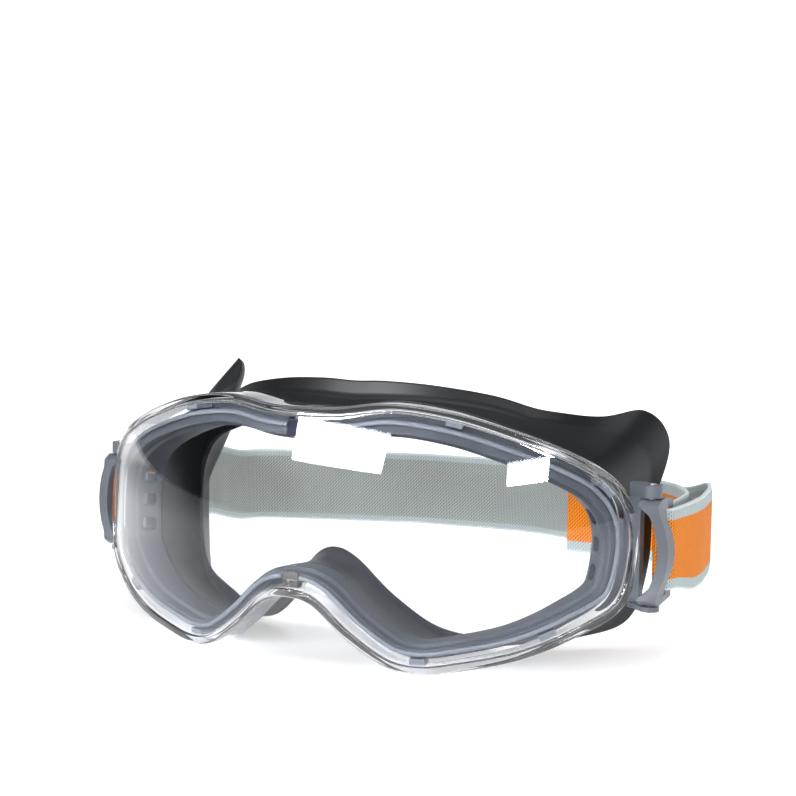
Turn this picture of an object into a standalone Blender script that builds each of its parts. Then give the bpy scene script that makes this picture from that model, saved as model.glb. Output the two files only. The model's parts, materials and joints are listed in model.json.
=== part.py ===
"""Wide-vision safety goggles: clear wrap lens, carrier ring, soft face seal, hinged strap brackets, elastic strap.

Sizes below are millimetres.  The design frame has the wearer looking along -Y, +X to the wearer's left,
+Z up, y = 0 at the middle of the lens's front and z = 0 near the strap's height.  When every piece is
made, the whole assembly is moved so that the middle of its box's underside is the world origin.
"""

import math

import bmesh
import bpy
import numpy as np

MM = 0.001                     # metres in one of this file's millimetres

# Lens: its surface is an upright wall that follows a rounded plan curve, leans and bulges a little.
LENS_HALF_ARC = 95.8           # middle of the brow to the temple end, along the surface
LENS_HEIGHT = 71.2             # lowest point of a lobe to highest point of the brow
LENS_LOW = -28.1               # height of the lobes' lowest points
LENS_THICKNESS = 2.0
PLAN_HALF_WIDTH = 99.0         # the plan curve's half width, reached past the temple end
PLAN_DEPTH = 68.0              # how far the plan curve runs back by then
PLAN_POWER = 1.85              # 2 is an ellipse; less is a little straighter in the middle
LEAN = 0.052                   # how far the surface leans back for each millimetre of height
CROWN = 0.00356                # how fast it curves back above and below the crown line
CROWN_LINE = 4.8               # height of the surface's foremost line
SKIRT_DEPTH = 9.0              # the lens's return wall, front face to free edge
SKIRT_WALL = 2.0
EDGE_ROUND = 1.0               # radius on the lens's front edge

# Carrier ring behind the lens, and the gasket between them.
GAP = 0.3                      # clearance kept between touching pieces
GASKET_THICKNESS = 1.0
GASKET_WIDTH = 1.2
LIP_OUTER = 4.5                # ring's front lip, inward from the lens's outline
RING_INNER = 7.5               # ring's inner wall, mean distance inward from the outline
RING_INNER_LEVEL = 1.0         # more than that above the eyes, less below them
RING_SHOULDER = 4.6            # depth of ring that the lip stands on
RING_DEPTH = 14.0              # lens front face to the ring's back
VENT_COUNT = 3                 # slots through the ring at each temple
VENT_HEIGHT = 4.2
VENT_PITCH = 7.4
VENT_DEPTH = 4.0

# Face seal.
FACE_FOREHEAD = 36.0           # how far behind the lens's front the forehead lies
FACE_WRAP = 41.0               # how much further back the temples lie
TEMPLE_SWEEP = 16.0            # how far the flange's outer edge runs on past the temples
TEMPLE_TUCK = 6.0              # how far its inner edge stands forward there
TEMPLE_START = 0.60            # shares of the face's half width between which both come in
TEMPLE_FULL = 0.87
SWEEP_FADE = 30.0              # the sweep fades out below this height, over SWEEP_FALL
SWEEP_FALL = 22.0
FACE_HALF_WIDTH = 78.0
FACE_POWER = 2.2
NOSE_STAND = 13.0              # how far the bridge of the nose stands forward of the forehead
NOSE_HALF_WIDTH = 15.0
NOSE_TOP = 5.0                 # the height above which the nose fades out
NOSE_FADE = 6.0
SEAL_ROOT = 4.0                # seal's thickness where it meets the ring
SEAL_WALL = 2.0                # the skirt's thickness at the flange
FLANGE_EDGE = 0.9
SEAL_STEM = 0.62               # where the skirt meets the flange, from its inner edge (0) to its outer edge (1)
EAR_RISE_LEFT = 0.5            # how much each top corner of the flange is turned up
EAR_RISE_RIGHT = 9.0

# Catches and clips that hold the lens to the ring.
CATCH_WIDTH = 8.5
NOSE_CATCH_WIDTH = 4.0
CLIP_LENGTH = 5.0
CLIP_STATIONS = {"top": 3.1, "temple": 6.2, "lower": 10.4, "inner": 13.1}

# Strap.
STRAP_WIDTH = 25.0
STRAP_THICKNESS = 1.6
STRAP_HEIGHT = 3.5             # the strap's middle behind the brackets
STRAP_SAG = 5.0                # how much lower it hangs at the back
GATHER_WIDTH = 22.0            # the strap's width where it is gathered in a bracket's slot
GATHER_LENGTH = 20.0           # it fans out to its full width over this length
LAYER_GAP = 0.5                # between doubled layers
SPLIT_GAP = 1.0                # between the loop round a bracket's bar and the strap that carries on
LOOP_LEG = 6.0                 # straight length of the loop behind the bracket's bar
REAR_REACH = 160.0             # how far behind the lens's front the strap reaches
SLIDER_STRETCH = 44.0          # straight, level stretch of strap that the slider runs on

# Strap brackets, and the mounts that they hinge on.
HINGE_OUT = 1.4                # hinge axis from the lens's end, sideways and back
HINGE_BACK = 5.3
BAR_FRONT = 3.4                # front bar's edge ahead of the hinge axis
BAR_END_FRONT = 1.0            # how much further forward its two ends reach
BAR_BOW = 4.0                  # how far its middle bows outward
BAR_WIDTH = 4.9
BAR_THICKNESS = 3.0
SLOT_WIDTH = 5.6
REAR_BAR_WIDTH = 3.6
REAR_BAR_THICKNESS = 2.2
BRACKET_HEIGHT = 4.8           # the slot's middle
ARM_HEIGHT = 2.6
ARM_SPLAY = 0.05               # how far the bracket runs outward for each millimetre back
KNUCKLE_THICKNESS = 5.4
SLOT_CLEARANCE = 0.5           # above and below the strap
EAR_HEIGHT = 3.4               # the mount's ear above the bracket
EAR_HEIGHT_LOW = 1.4           # and the one below it
EAR_RADIUS = 2.7
HINGE_GAP = 0.4                # between arm and ear
PIN_RADIUS = 1.0
PIN_CLEARANCE = 0.3
PIN_PROUD = 0.4
MOUNT_SPINE = 3.2              # the spine's thickness, square
MOUNT_BACK = 3.6               # the spine's middle behind the hinge axis
MOUNT_IN = 5.4                 # and inward of it
FOOT_HEIGHT = 17.0

# Slider on the wearer's right of the strap.
SLIDER_LENGTH = 7.0
SLIDER_RIM = 2.2
SLIDER_WALL = 1.5

STATIONS = 88                  # points round the lens's outline

# The lens's outline, brow to nose: share of LENS_HALF_ARC, and share of LENS_HEIGHT above LENS_LOW.
OUTLINE = [(0.000, 0.972), (0.114, 0.976), (0.266, 1.000), (0.439, 0.976), (0.601, 0.921), (0.775, 0.841),
           (0.905, 0.751), (0.981, 0.625), (1.000, 0.465), (0.958, 0.270), (0.818, 0.157), (0.663, 0.073),
           (0.496, 0.022), (0.386, 0.000), (0.289, 0.021), (0.177, 0.117), (0.075, 0.233), (0.000, 0.256)]
# The flange's outer and inner edges at the same places: share of FACE_HALF_WIDTH, and height.
FLANGE_OUTER = [(0.00, 46.5), (0.13, 46.8), (0.31, 46.0), (0.51, 43.5), (0.67, 39.0), (0.78, 36.3),
                (0.89, 37.5), (0.96, 30.0), (0.97, 12.0), (0.96, -6.0), (0.91, -20.0), (0.78, -24.5),
                (0.62, -26.0), (0.48, -26.5), (0.35, -24.5), (0.22, -17.0), (0.10, -7.5), (0.00, -4.5)]
FLANGE_INNER = [(0.00, 31.0), (0.13, 31.5), (0.29, 32.0), (0.49, 31.0), (0.64, 28.0), (0.75, 24.0),
                (0.82, 18.0), (0.87, 11.0), (0.89, 3.0), (0.87, -8.0), (0.80, -16.0), (0.66, -21.0),
                (0.53, -23.5), (0.42, -23.5), (0.31, -20.5), (0.20, -13.0), (0.09, -3.0), (0.00, 0.0)]
# How much of the ear's rise each of those places takes.
EAR_SHARE = [0, 0, 0, 0, 0.1, 0.65, 1.0, 0.75, 0.1, 0, 0, 0, 0, 0, 0, 0, 0, 0]

# Finishes: base colour, roughness, metallic.
FINISHES = {
    "clear_polycarbonate": ((0.90, 0.93, 0.95), 0.05, 0.0),
    "slate_plastic": ((0.17, 0.19, 0.22), 0.40, 0.0),
    "seal_elastomer": ((0.020, 0.022, 0.026), 0.60, 0.0),
    "gasket_elastomer": ((0.05, 0.05, 0.06), 0.60, 0.0),
    "webbing_grey": ((0.33, 0.38, 0.36), 0.90, 0.0),
    "webbing_orange": ((0.80, 0.22, 0.02), 0.90, 0.0),
    "pin_steel": ((0.70, 0.70, 0.72), 0.25, 1.0),
}


# ---------------------------------------------------------------- curves and surfaces

def smooth(points, at, closed=False):
    """Catmull-Rom curve through the points, read at the positions `at` counted in points."""
    pts = np.asarray(points, float)
    count = len(pts)
    k = np.floor(at).astype(int)
    if not closed:
        k = np.clip(k, 0, count - 2)
    t = (at - k)[:, None]

    def pick(i):
        return pts[i % count] if closed else pts[np.clip(i, 0, count - 1)]

    a, b, c, d = pick(k - 1), pick(k), pick(k + 1), pick(k + 2)
    if not closed:
        a = np.where((k == 0)[:, None], 2 * b - c, a)
        d = np.where((k == count - 2)[:, None], 2 * c - b, d)
    return 0.5 * (2 * b + (c - a) * t + (2 * a - 5 * b + 4 * c - d) * t**2 + (3 * b - a - 3 * c + d) * t**3)


def both_sides(half):
    """A half outline, brow to nose on +X, made into the closed outline: +X side down, -X side back up."""
    half = np.asarray(half, float)
    mirrored = half[-2:0:-1] * (-1, 1)
    return np.concatenate([half, mirrored])


def even_stations():
    """Positions round OUTLINE, counted in its points, that are evenly spaced along the outline."""
    closed = both_sides(OUTLINE) * (LENS_HALF_ARC, LENS_HEIGHT)
    fine = np.linspace(0, len(closed), 4001)
    run = smooth(closed, fine[:-1], closed=True)
    length = np.concatenate([[0], np.cumsum(np.linalg.norm(np.roll(run, -1, 0) - run, axis=1))])
    return np.interp(np.arange(STATIONS) / STATIONS * length[-1], length, fine)


def outline_at(stations, inward=0.0):
    """Outline points (along the surface, height), moved inward by a distance or by one for each station."""
    closed = both_sides(OUTLINE)
    closed = np.stack([closed[:, 0] * LENS_HALF_ARC, LENS_LOW + closed[:, 1] * LENS_HEIGHT], -1)
    step = 0.05
    point = smooth(closed, stations % len(closed), closed=True)
    along = smooth(closed, (stations + step) % len(closed), closed=True) - smooth(
        closed, (stations - step) % len(closed), closed=True)
    along /= np.linalg.norm(along, axis=1)[:, None]
    inside = np.stack([along[:, 1], -along[:, 0]], -1)
    return point + inside * np.reshape(np.broadcast_to(inward, len(point)), (-1, 1)), -inside


def plan_table():
    """Arc length, x, y and heading along the plan curve y = depth * (1 - (1 - (x/w)^p)^(1/p))."""
    x = PLAN_HALF_WIDTH * np.sin(np.linspace(0, math.radians(84), 1500))
    y = PLAN_DEPTH * (1 - (1 - (x / PLAN_HALF_WIDTH)**PLAN_POWER)**(1 / PLAN_POWER))
    length = np.concatenate([[0], np.cumsum(np.hypot(np.diff(x), np.diff(y)))])
    heading = np.arctan2(np.gradient(y, length), np.gradient(x, length))
    return length, x, y, heading


PLAN = plan_table()


def on_lens(along, height, depth):
    """Point at a distance along the lens from its middle, at a height, and at a depth behind its front."""
    length, x, y, heading = PLAN
    far = np.abs(along)
    side = np.where(along < 0, -1.0, 1.0)
    turn = np.interp(far, length, heading)
    beyond = np.maximum(far - length[-1], 0)
    px = np.interp(far, length, x) + beyond * np.cos(turn) - depth * np.sin(turn)
    py = np.interp(far, length, y) + beyond * np.sin(turn) + depth * np.cos(turn)
    rise = height - CROWN_LINE
    return np.stack(np.broadcast_arrays(side * px, py + LEAN * rise + CROWN * rise**2, height), -1)


def face_depth(x, z):
    """How far behind the lens's front the wearer's face lies: a rounded brow with the nose standing forward."""
    brow = FACE_FOREHEAD + FACE_WRAP * (np.abs(x) / FACE_HALF_WIDTH)**FACE_POWER
    nose = NOSE_STAND * np.exp(-(x / NOSE_HALF_WIDTH)**2) / (1 + np.exp((z - NOSE_TOP) / NOSE_FADE))
    return brow - nose


# ---------------------------------------------------------------- meshes

def finish_material(name):
    colour, roughness, metallic = FINISHES[name]
    material = bpy.data.materials.get(name)
    if material is None:
        material = bpy.data.materials.new(name)
        material.use_nodes = True
        shader = material.node_tree.nodes["Principled BSDF"]
        shader.inputs["Base Color"].default_value = (*colour, 1.0)
        shader.inputs["Roughness"].default_value = roughness
        shader.inputs["Metallic"].default_value = metallic
        if name == "clear_polycarbonate":
            shader.inputs["Transmission Weight"].default_value = 1.0
    return material


def add_solid(name, vertices, faces, finish, origin=(0.0, 0.0, 0.0), smooth_angle=35):
    """One closed body as an object; vertices and origin are millimetres in the design frame."""
    mesh = bpy.data.meshes.new(name)
    local = (np.asarray(vertices, float) - origin) * MM
    mesh.from_pydata(local.tolist(), [], [list(map(int, f)) for f in faces])
    bm = bmesh.new()
    bm.from_mesh(mesh)
    bmesh.ops.triangulate(bm, faces=bm.faces)
    bmesh.ops.recalc_face_normals(bm, faces=bm.faces)
    if bm.calc_volume(signed=True) < 0:
        bmesh.ops.reverse_faces(bm, faces=bm.faces)
    bm.to_mesh(mesh)
    bm.free()
    mesh.shade_smooth()
    mesh.set_sharp_from_angle(angle=math.radians(smooth_angle))
    mesh.materials.append(finish_material(finish))
    obj = bpy.data.objects.new(name, mesh)
    obj.location = np.asarray(origin) * MM
    bpy.context.collection.objects.link(obj)
    return obj


def grid_faces(rows, columns, close_rows, close_columns):
    """Quads of a grid of points, numbered row by row."""
    r = np.arange(rows if close_rows else rows - 1)
    c = np.arange(columns if close_columns else columns - 1)
    r, c = [g.ravel() for g in np.meshgrid(r, c, indexing="ij")]
    r2, c2 = (r + 1) % rows, (c + 1) % columns
    return np.stack([r * columns + c, r * columns + c2, r2 * columns + c2, r2 * columns + c], -1).tolist()


def ring_solid(name, grid, finish, **options):
    """A closed ring: grid[i, j] is section point j at station i, and both directions close."""
    rows, columns = grid.shape[:2]
    return add_solid(name, grid.reshape(-1, 3), grid_faces(rows, columns, True, True), finish, **options)


def bar_solid(name, grid, finish, **options):
    """A bar: sections grid[i] carried along a path, with a flat cap on each end."""
    rows, columns = grid.shape[:2]
    faces = grid_faces(rows, columns, False, True)
    faces += [list(range(columns)), list(range((rows - 1) * columns, rows * columns))]
    return add_solid(name, grid.reshape(-1, 3), faces, finish, **options)


def box_points(low, high):
    """A box's corners as a two-station bar, lower face first."""
    (x0, y0, z0), (x1, y1, z1) = low, high
    corners = np.array([(x0, y0), (x1, y0), (x1, y1), (x0, y1)])
    return prism_points(corners, z0, z1)


def prism_points(corners, z0, z1):
    """An upright prism on a plan polygon, as a two-station bar."""
    corners = np.asarray(corners, float)
    return np.stack([np.column_stack([corners, np.full(len(corners), z)]) for z in (z0, z1)])


def circle(centre, radius, count=20):
    turn = np.arange(count) * 2 * math.pi / count
    return np.stack([centre[0] + radius * np.cos(turn), centre[1] + radius * np.sin(turn)], -1)


def apply_boolean(obj, tool, operation):
    """Cut the tool out of the object, or join it on, and remove the tool."""
    modifier = obj.modifiers.new(operation.lower(), "BOOLEAN")
    modifier.operation = operation
    modifier.solver = "EXACT"
    modifier.object = tool
    bpy.context.view_layer.update()
    result = bpy.data.meshes.new_from_object(obj.evaluated_get(bpy.context.evaluated_depsgraph_get()))
    obj.modifiers.remove(modifier)
    obj.data = result
    bpy.data.objects.remove(tool)


# ---------------------------------------------------------------- lens, ring, gasket and seal

def make_lens(stations):
    """Curved front, rounded edge and return wall, all one shell; the middle is closed by a strip of quads."""
    shares = (0.30, 0.62, 0.90)
    rings = []

    def face_rings(depth, inward, order):
        edge, _ = outline_at(stations, inward)
        middle = np.stack([edge[:, 0] * 0.80, np.full(len(edge), CROWN_LINE + 10.0)], -1)
        middle[:, 1] += 0.12 * (edge[:, 1] - middle[:, 1])
        for share in order:
            at = middle + (edge - middle) * share
            rings.append(on_lens(at[:, 0], at[:, 1], depth))

    face_rings(0.0, EDGE_ROUND, shares)
    for turn in np.radians([0, 45, 90]):
        at, _ = outline_at(stations, EDGE_ROUND * (1 - math.sin(turn)))
        rings.append(on_lens(at[:, 0], at[:, 1], EDGE_ROUND * (1 - math.cos(turn))))
    for inward, depth in ((0.0, SKIRT_DEPTH), (SKIRT_WALL, SKIRT_DEPTH), (SKIRT_WALL, LENS_THICKNESS)):
        at, _ = outline_at(stations, inward)
        rings.append(on_lens(at[:, 0], at[:, 1], depth))
    face_rings(LENS_THICKNESS, SKIRT_WALL, shares[::-1])
    grid = np.stack(rings)
    faces = grid_faces(*grid.shape[:2], False, True)
    count = grid.shape[1]
    for base in (0, (len(grid) - 1) * count):
        faces += middle_strip(base, count)
    return add_solid("lens", grid.reshape(-1, 3), faces, "clear_polycarbonate", smooth_angle=50)


def middle_strip(base, count):
    """Quads that close the innermost ring, joining its upper side to its lower one from temple to temple."""
    end = count // 4

    def at(step):
        return base + (end + step) % count

    faces = [[at(0), at(1), at(-1)]]
    faces += [[at(-i), at(i), at(i + 1), at(-i - 1)] for i in range(1, count // 2 - 1)]
    faces.append([at(count // 2 - 1), at(count // 2), at(1 - count // 2)])
    return faces


def band(stations, section):
    """Grid of a ring whose section is a list of (inward, depth); inward may be one value for each station."""
    columns = []
    for inward, depth in section:
        at, _ = outline_at(stations, inward)
        columns.append(on_lens(at[:, 0], at[:, 1], depth))
    return np.stack(columns, 1)


def ring_inner(stations):
    """The ring's inner wall: further in above the eyes, less below them."""
    _, outward = outline_at(stations)
    return RING_INNER + RING_INNER_LEVEL * outward[:, 1]


def lip_depth():
    return LENS_THICKNESS + 2 * GAP + GASKET_THICKNESS


def make_gasket(stations):
    front = LENS_THICKNESS + GAP
    back = front + GASKET_THICKNESS
    near, far = LIP_OUTER + 0.3, LIP_OUTER + 0.3 + GASKET_WIDTH
    section = [(near, front), (far, front), (far, back), (near, back)]
    return ring_solid("lens_gasket", band(stations, section), "gasket_elastomer")


def make_frame_ring(stations):
    inner = ring_inner(stations)
    outer = SKIRT_WALL + GAP + 0.7
    shoulder = lip_depth() + RING_SHOULDER
    section = [(LIP_OUTER, lip_depth()), (inner, lip_depth()), (inner + 0.8, RING_DEPTH),
               (outer, RING_DEPTH), (outer, shoulder), (LIP_OUTER, shoulder)]
    ring = ring_solid("frame_ring", band(stations, section), "slate_plastic")
    for side in (-1, 1):
        for place in range(VENT_COUNT):
            apply_boolean(ring, vent_cutter(side, place), "DIFFERENCE")
    return ring


def vent_cutter(side, place):
    """A slot through the ring's temple wall, sideways."""
    middle = LENS_LOW + 0.48 * LENS_HEIGHT + (place - (VENT_COUNT - 1) / 2) * VENT_PITCH
    depth = RING_DEPTH - 1.6
    start, stop = LENS_HALF_ARC - 14, LENS_HALF_ARC + 1
    rows = []
    for height in (middle - VENT_HEIGHT / 2, middle + VENT_HEIGHT / 2):
        corners = [(start, depth - VENT_DEPTH), (stop, depth - VENT_DEPTH), (stop, depth), (start, depth)]
        rows.append([on_lens(side * np.float64(s), np.float64(height), d) for s, d in corners])
    return bar_solid("vent_cutter", np.array(rows), "slate_plastic")


def ease(share):
    """0 up to 0, 1 from 1 on, and a smooth step between."""
    share = np.clip(share, 0, 1)
    return share * share * (3 - 2 * share)


def flange_edge(half, stations, rise_right=0.0, rise_left=0.0, sweep=0.0, tuck=0.0):
    """One edge of the seal's flange, on the face, with its top corners turned up and its temples swept back."""
    half = np.array(half) * (FACE_HALF_WIDTH, 1)
    lift = np.array(EAR_SHARE, float)
    left = half.copy()
    half[:, 1] += lift * rise_left
    left[:, 1] += lift * rise_right
    closed = np.concatenate([half, left[-2:0:-1] * (-1, 1)])
    at = smooth(closed, stations, closed=True)
    temple = ease((np.abs(at[:, 0]) / FACE_HALF_WIDTH - TEMPLE_START) / (TEMPLE_FULL - TEMPLE_START))
    high = ease((at[:, 1] - SWEEP_FADE + SWEEP_FALL) / SWEEP_FALL)
    depth = face_depth(at[:, 0], at[:, 1]) + temple * (high * sweep - tuck)
    return np.stack([at[:, 0], depth, at[:, 1]], -1)


def make_face_seal(stations):
    """Skirt from the ring's back to a flange on the face; each section is a T lying on its side."""
    outer = flange_edge(FLANGE_OUTER, stations, EAR_RISE_RIGHT, EAR_RISE_LEFT, sweep=TEMPLE_SWEEP)
    inner = flange_edge(FLANGE_INNER, stations, tuck=TEMPLE_TUCK)
    root_out = SKIRT_WALL + GAP + 0.9
    out = band(stations, [(root_out, RING_DEPTH + GAP)])[:, 0]
    inn = band(stations, [(root_out + SEAL_ROOT, RING_DEPTH + GAP)])[:, 0]
    across = outer - inner
    across /= np.linalg.norm(across, axis=1)[:, None]
    root = (out + inn) / 2
    forward = root - (outer + inner) / 2
    forward -= across * (forward * across).sum(1)[:, None]
    forward /= np.linalg.norm(forward, axis=1)[:, None]
    stem = inner + (outer - inner) * SEAL_STEM + forward * SEAL_WALL
    waist = stem * 0.45 + root * 0.55
    half = across * SEAL_WALL / 2
    section = [out, waist + half, stem + half, outer + forward * FLANGE_EDGE, outer, inner,
               inner + forward * FLANGE_EDGE, stem - half, waist - half, inn]
    return ring_solid("face_seal", np.stack(section, 1), "seal_elastomer", smooth_angle=50)


# ---------------------------------------------------------------- catches and clips

def block_on_lens(name, station, length, near, far, front, back, finish):
    """A short block that follows the outline: `near` to `far` inward of it, `front` to `back` in depth."""
    closed = both_sides(OUTLINE) * (LENS_HALF_ARC, LENS_HEIGHT)
    here = np.array([station - 0.05, station + 0.05])
    ends = smooth(closed, here % len(closed), closed=True)
    half = 0.05 * length / np.linalg.norm(ends[1] - ends[0])
    at = station + np.linspace(-half, half, 4)
    grid = band(at, [(near, front), (far, front), (far, back), (near, back)])
    return bar_solid(name, grid, finish)


def make_catches():
    """Clear catches in the middle of the brow and over the nose."""
    near = SKIRT_WALL + GAP
    front = LENS_THICKNESS + GAP
    back = lip_depth() + RING_SHOULDER - GAP
    last = len(OUTLINE) - 1
    block_on_lens("brow_catch", 0.0, CATCH_WIDTH, near, LIP_OUTER - GAP, front, back, "clear_polycarbonate")
    block_on_lens("nose_catch", last, NOSE_CATCH_WIDTH, near, LIP_OUTER - GAP, front, back,
                  "clear_polycarbonate")


def make_clips():
    """Clips on the ring's lip that the lens snaps over, four on each side."""
    near = SKIRT_WALL + GAP
    front = LENS_THICKNESS + GAP
    back = lip_depth() + RING_SHOULDER - GAP
    total = 2 * (len(OUTLINE) - 1)
    for word, station in CLIP_STATIONS.items():
        for side, at in (("left", station), ("right", total - station)):
            block_on_lens(f"lens_clip_{word}_{side}", at, CLIP_LENGTH, near, LIP_OUTER - GAP, front, back,
                          "slate_plastic")


# ---------------------------------------------------------------- brackets, mounts and pins

def lens_end():
    """The lens's temple end in plan, at the brackets' height, on +X."""
    return on_lens(np.float64(LENS_HALF_ARC), np.float64(BRACKET_HEIGHT), 0.0)[:2]


def hinge_axis():
    """The bracket hinge's upright axis in plan, on +X."""
    return lens_end() + (HINGE_OUT, HINGE_BACK)


def slot_half_height():
    return GATHER_WIDTH / 2 + SLOT_CLEARANCE


def arm_heights(level):
    """Lower and upper face of a bracket's arm: level +1 is the top arm, -1 the bottom one."""
    near = BRACKET_HEIGHT + level * slot_half_height()
    return sorted((near, near + level * ARM_HEIGHT))


def ear_heights(level):
    """Lower and upper face of the mount's ear, outside the arm."""
    near = BRACKET_HEIGHT + level * (slot_half_height() + ARM_HEIGHT + HINGE_GAP)
    return sorted((near, near + level * (EAR_HEIGHT if level > 0 else EAR_HEIGHT_LOW)))


def mirrored(points, side):
    return np.asarray(points, float) * (side, 1, 1)


def bracket_grid():
    """A buckle: curved front bar, two arms and a rear bar round one slot, on +X."""
    axis_x, axis_y = hinge_axis()
    half = slot_half_height()
    tall = half + ARM_HEIGHT
    slot_front = axis_y + BAR_WIDTH - BAR_FRONT
    slot_back = slot_front + SLOT_WIDTH
    rear = slot_back + REAR_BAR_WIDTH
    up = np.linspace(-1, 1, 9)
    inner, outer = [], []
    for t in up:
        bow = 1 - t * t
        inner.append((slot_front, t * half))
        outer.append((axis_y - BAR_FRONT - BAR_END_FRONT * (1 - bow), t * (tall - 1.2 * (1 - bow))))
    outer[0] = (axis_y - BAR_FRONT - BAR_END_FRONT, -tall + 1.6)
    outer[-1] = (axis_y - BAR_FRONT - BAR_END_FRONT, tall - 1.6)
    top_inner = [(slot_front + (slot_back - slot_front) * k, half) for k in (0.33, 0.67)]
    top_outer = [(axis_y - BAR_FRONT + 1.5, tall), (slot_front + 3.0, tall)]
    rear_inner = [(slot_back, half), (slot_back, 0.0), (slot_back, -half)]
    rear_outer = [(rear, tall - 0.8), (rear, 0.0), (rear, -tall + 0.8)]
    low_inner = [(y, -z) for y, z in top_inner[::-1]]
    low_outer = [(y, -z) for y, z in top_outer[::-1]]
    inner = np.array(inner + top_inner + rear_inner + low_inner)
    outer = np.array(outer + top_outer + rear_outer + low_outer)
    bow = np.zeros(len(inner))
    bow[:len(up)] = BAR_BOW * (1 - up * up)

    def lay(points, thickness, outward):
        y, z = points[:, 0], points[:, 1]
        x = axis_x + 0.6 + ARM_SPLAY * (y - axis_y) + bow + outward * thickness / 2
        return np.stack([x, y, z + BRACKET_HEIGHT], -1)

    at_bar = np.minimum(inner[:, 0], outer[:, 0])
    knuckle = (np.abs(outer[:, 1]) > half) & (outer[:, 0] < slot_front + 1)
    thick = np.where(at_bar > slot_back - 0.1, REAR_BAR_THICKNESS, BAR_THICKNESS)
    thick = np.where(knuckle, KNUCKLE_THICKNESS, thick)
    return np.stack([lay(outer, thick, 1), lay(inner, thick, 1), lay(inner, thick, -1),
                     lay(outer, thick, -1)], 1)


def upright_hole(side, low, high):
    """Cutter for a pin hole on the hinge axis."""
    axis = hinge_axis() * (side, 1)
    points = prism_points(circle(axis, PIN_RADIUS + PIN_CLEARANCE), low, high)
    return bar_solid("pin_hole", points, "slate_plastic")


def make_brackets():
    for word, side in (("left", 1), ("right", -1)):
        axis = (*(hinge_axis() * (side, 1)), BRACKET_HEIGHT)
        bracket = ring_solid(f"strap_bracket_{word}", mirrored(bracket_grid(), side), "slate_plastic",
                             origin=axis)
        for level in (-1, 1):
            low, high = arm_heights(level)
            margin = ARM_HEIGHT
            cutter = upright_hole(side, low - margin, high + margin)
            apply_boolean(bracket, cutter, "DIFFERENCE")


def make_hinge_mounts():
    """Spine behind the lens's end with an ear above and below the bracket, and a foot against the ring."""
    axis_x, axis_y = hinge_axis()
    spine = np.array([axis_x - MOUNT_IN, axis_y + MOUNT_BACK])
    half = MOUNT_SPINE / 2
    bottom, top = ear_heights(-1)[0], ear_heights(1)[1]
    for word, side in (("left", 1), ("right", -1)):
        low, high = (*(spine - half), bottom), (*(spine + half), top)
        mount = bar_solid(f"hinge_mount_{word}", mirrored(box_points(low, high), side), "slate_plastic")
        for level in (-1, 1):
            ear = ear_outline(spine, half, (axis_x, axis_y))
            points = mirrored(prism_points(ear, *ear_heights(level)), side)
            apply_boolean(mount, bar_solid("ear", points, "slate_plastic"), "UNION")
            low, high = ear_heights(level)
            apply_boolean(mount, upright_hole(side, low - EAR_HEIGHT, high + EAR_HEIGHT), "DIFFERENCE")
        apply_boolean(mount, mount_foot(side, spine), "UNION")


def ear_outline(spine, half, axis):
    """Plan of an ear: a round end on the hinge axis and a square end over the spine."""
    turn = np.radians(np.linspace(-150, 30, 11))
    nose = np.stack([axis[0] + EAR_RADIUS * np.cos(turn), axis[1] + EAR_RADIUS * np.sin(turn)], -1)
    back = [(spine[0] + half, spine[1] + half), (spine[0] - half + 0.1, spine[1] + half - 0.05),
            (spine[0] - half + 0.1, spine[1] - half + 0.1)]
    return np.concatenate([nose, back])


def mount_foot(side, spine):
    """A block from the spine to the ring's outer wall, past the free edge of the lens's skirt."""
    near = LENS_HALF_ARC - SKIRT_WALL - GAP - 0.7 + GAP
    front, back = SKIRT_DEPTH + GAP + 0.8, RING_DEPTH - 0.5
    rows = []
    for height in (BRACKET_HEIGHT - FOOT_HEIGHT / 2, BRACKET_HEIGHT + FOOT_HEIGHT / 2):
        a = on_lens(np.float64(near), np.float64(height), front)
        b = on_lens(np.float64(near), np.float64(height), back)
        c = np.array([spine[0], spine[1] + MOUNT_SPINE * 0.3, height])
        d = np.array([spine[0] + MOUNT_SPINE * 0.3, spine[1], height])
        rows.append([a, b, c, d])
    return bar_solid("foot", mirrored(np.array(rows), side), "slate_plastic")


def make_pins():
    for word, side in (("left", 1), ("right", -1)):
        for place, level in (("top", 1), ("bottom", -1)):
            low = min(arm_heights(level)[0], ear_heights(level)[0])
            high = max(arm_heights(level)[1], ear_heights(level)[1])
            low, high = (low + 0.3, high + PIN_PROUD) if level > 0 else (low - PIN_PROUD, high - 0.3)
            points = prism_points(circle(hinge_axis() * (side, 1), PIN_RADIUS, 16), low, high)
            bar_solid(f"hinge_pin_{place}_{word}", points, "pin_steel")


# ---------------------------------------------------------------- strap

def fan(y):
    """0 where the strap is gathered in a bracket's slot, 1 where it has fanned out behind it."""
    _, slot_back = rear_bar()
    return ease((y - slot_back) / GATHER_LENGTH)


def strap_width(y):
    return GATHER_WIDTH + (STRAP_WIDTH - GATHER_WIDTH) * fan(y)


def strap_middle(y):
    """The strap's middle height: it drops behind the slot, runs level past the slider and hangs at the back."""
    level = loop_end(1)[1] + SLIDER_STRETCH
    back = np.clip((y - level) / (REAR_REACH - level), 0, 1)
    return BRACKET_HEIGHT + (STRAP_HEIGHT - BRACKET_HEIGHT) * fan(y) - STRAP_SAG * ease(2 * back)


def strap_section(path):
    """The flat strap standing on edge, carried along a plan path."""
    width, lift = strap_width(path[:, 1]), strap_middle(path[:, 1])
    along = np.gradient(path, axis=0)
    along /= np.linalg.norm(along, axis=1)[:, None]
    across = np.stack([-along[:, 1], along[:, 0]], -1) * STRAP_THICKNESS / 2
    columns = []
    for sign, up in ((1, -1), (1, 1), (-1, 1), (-1, -1)):
        columns.append(np.column_stack([path + sign * across, lift + up * width / 2]))
    return np.stack(columns, 1)


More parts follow.
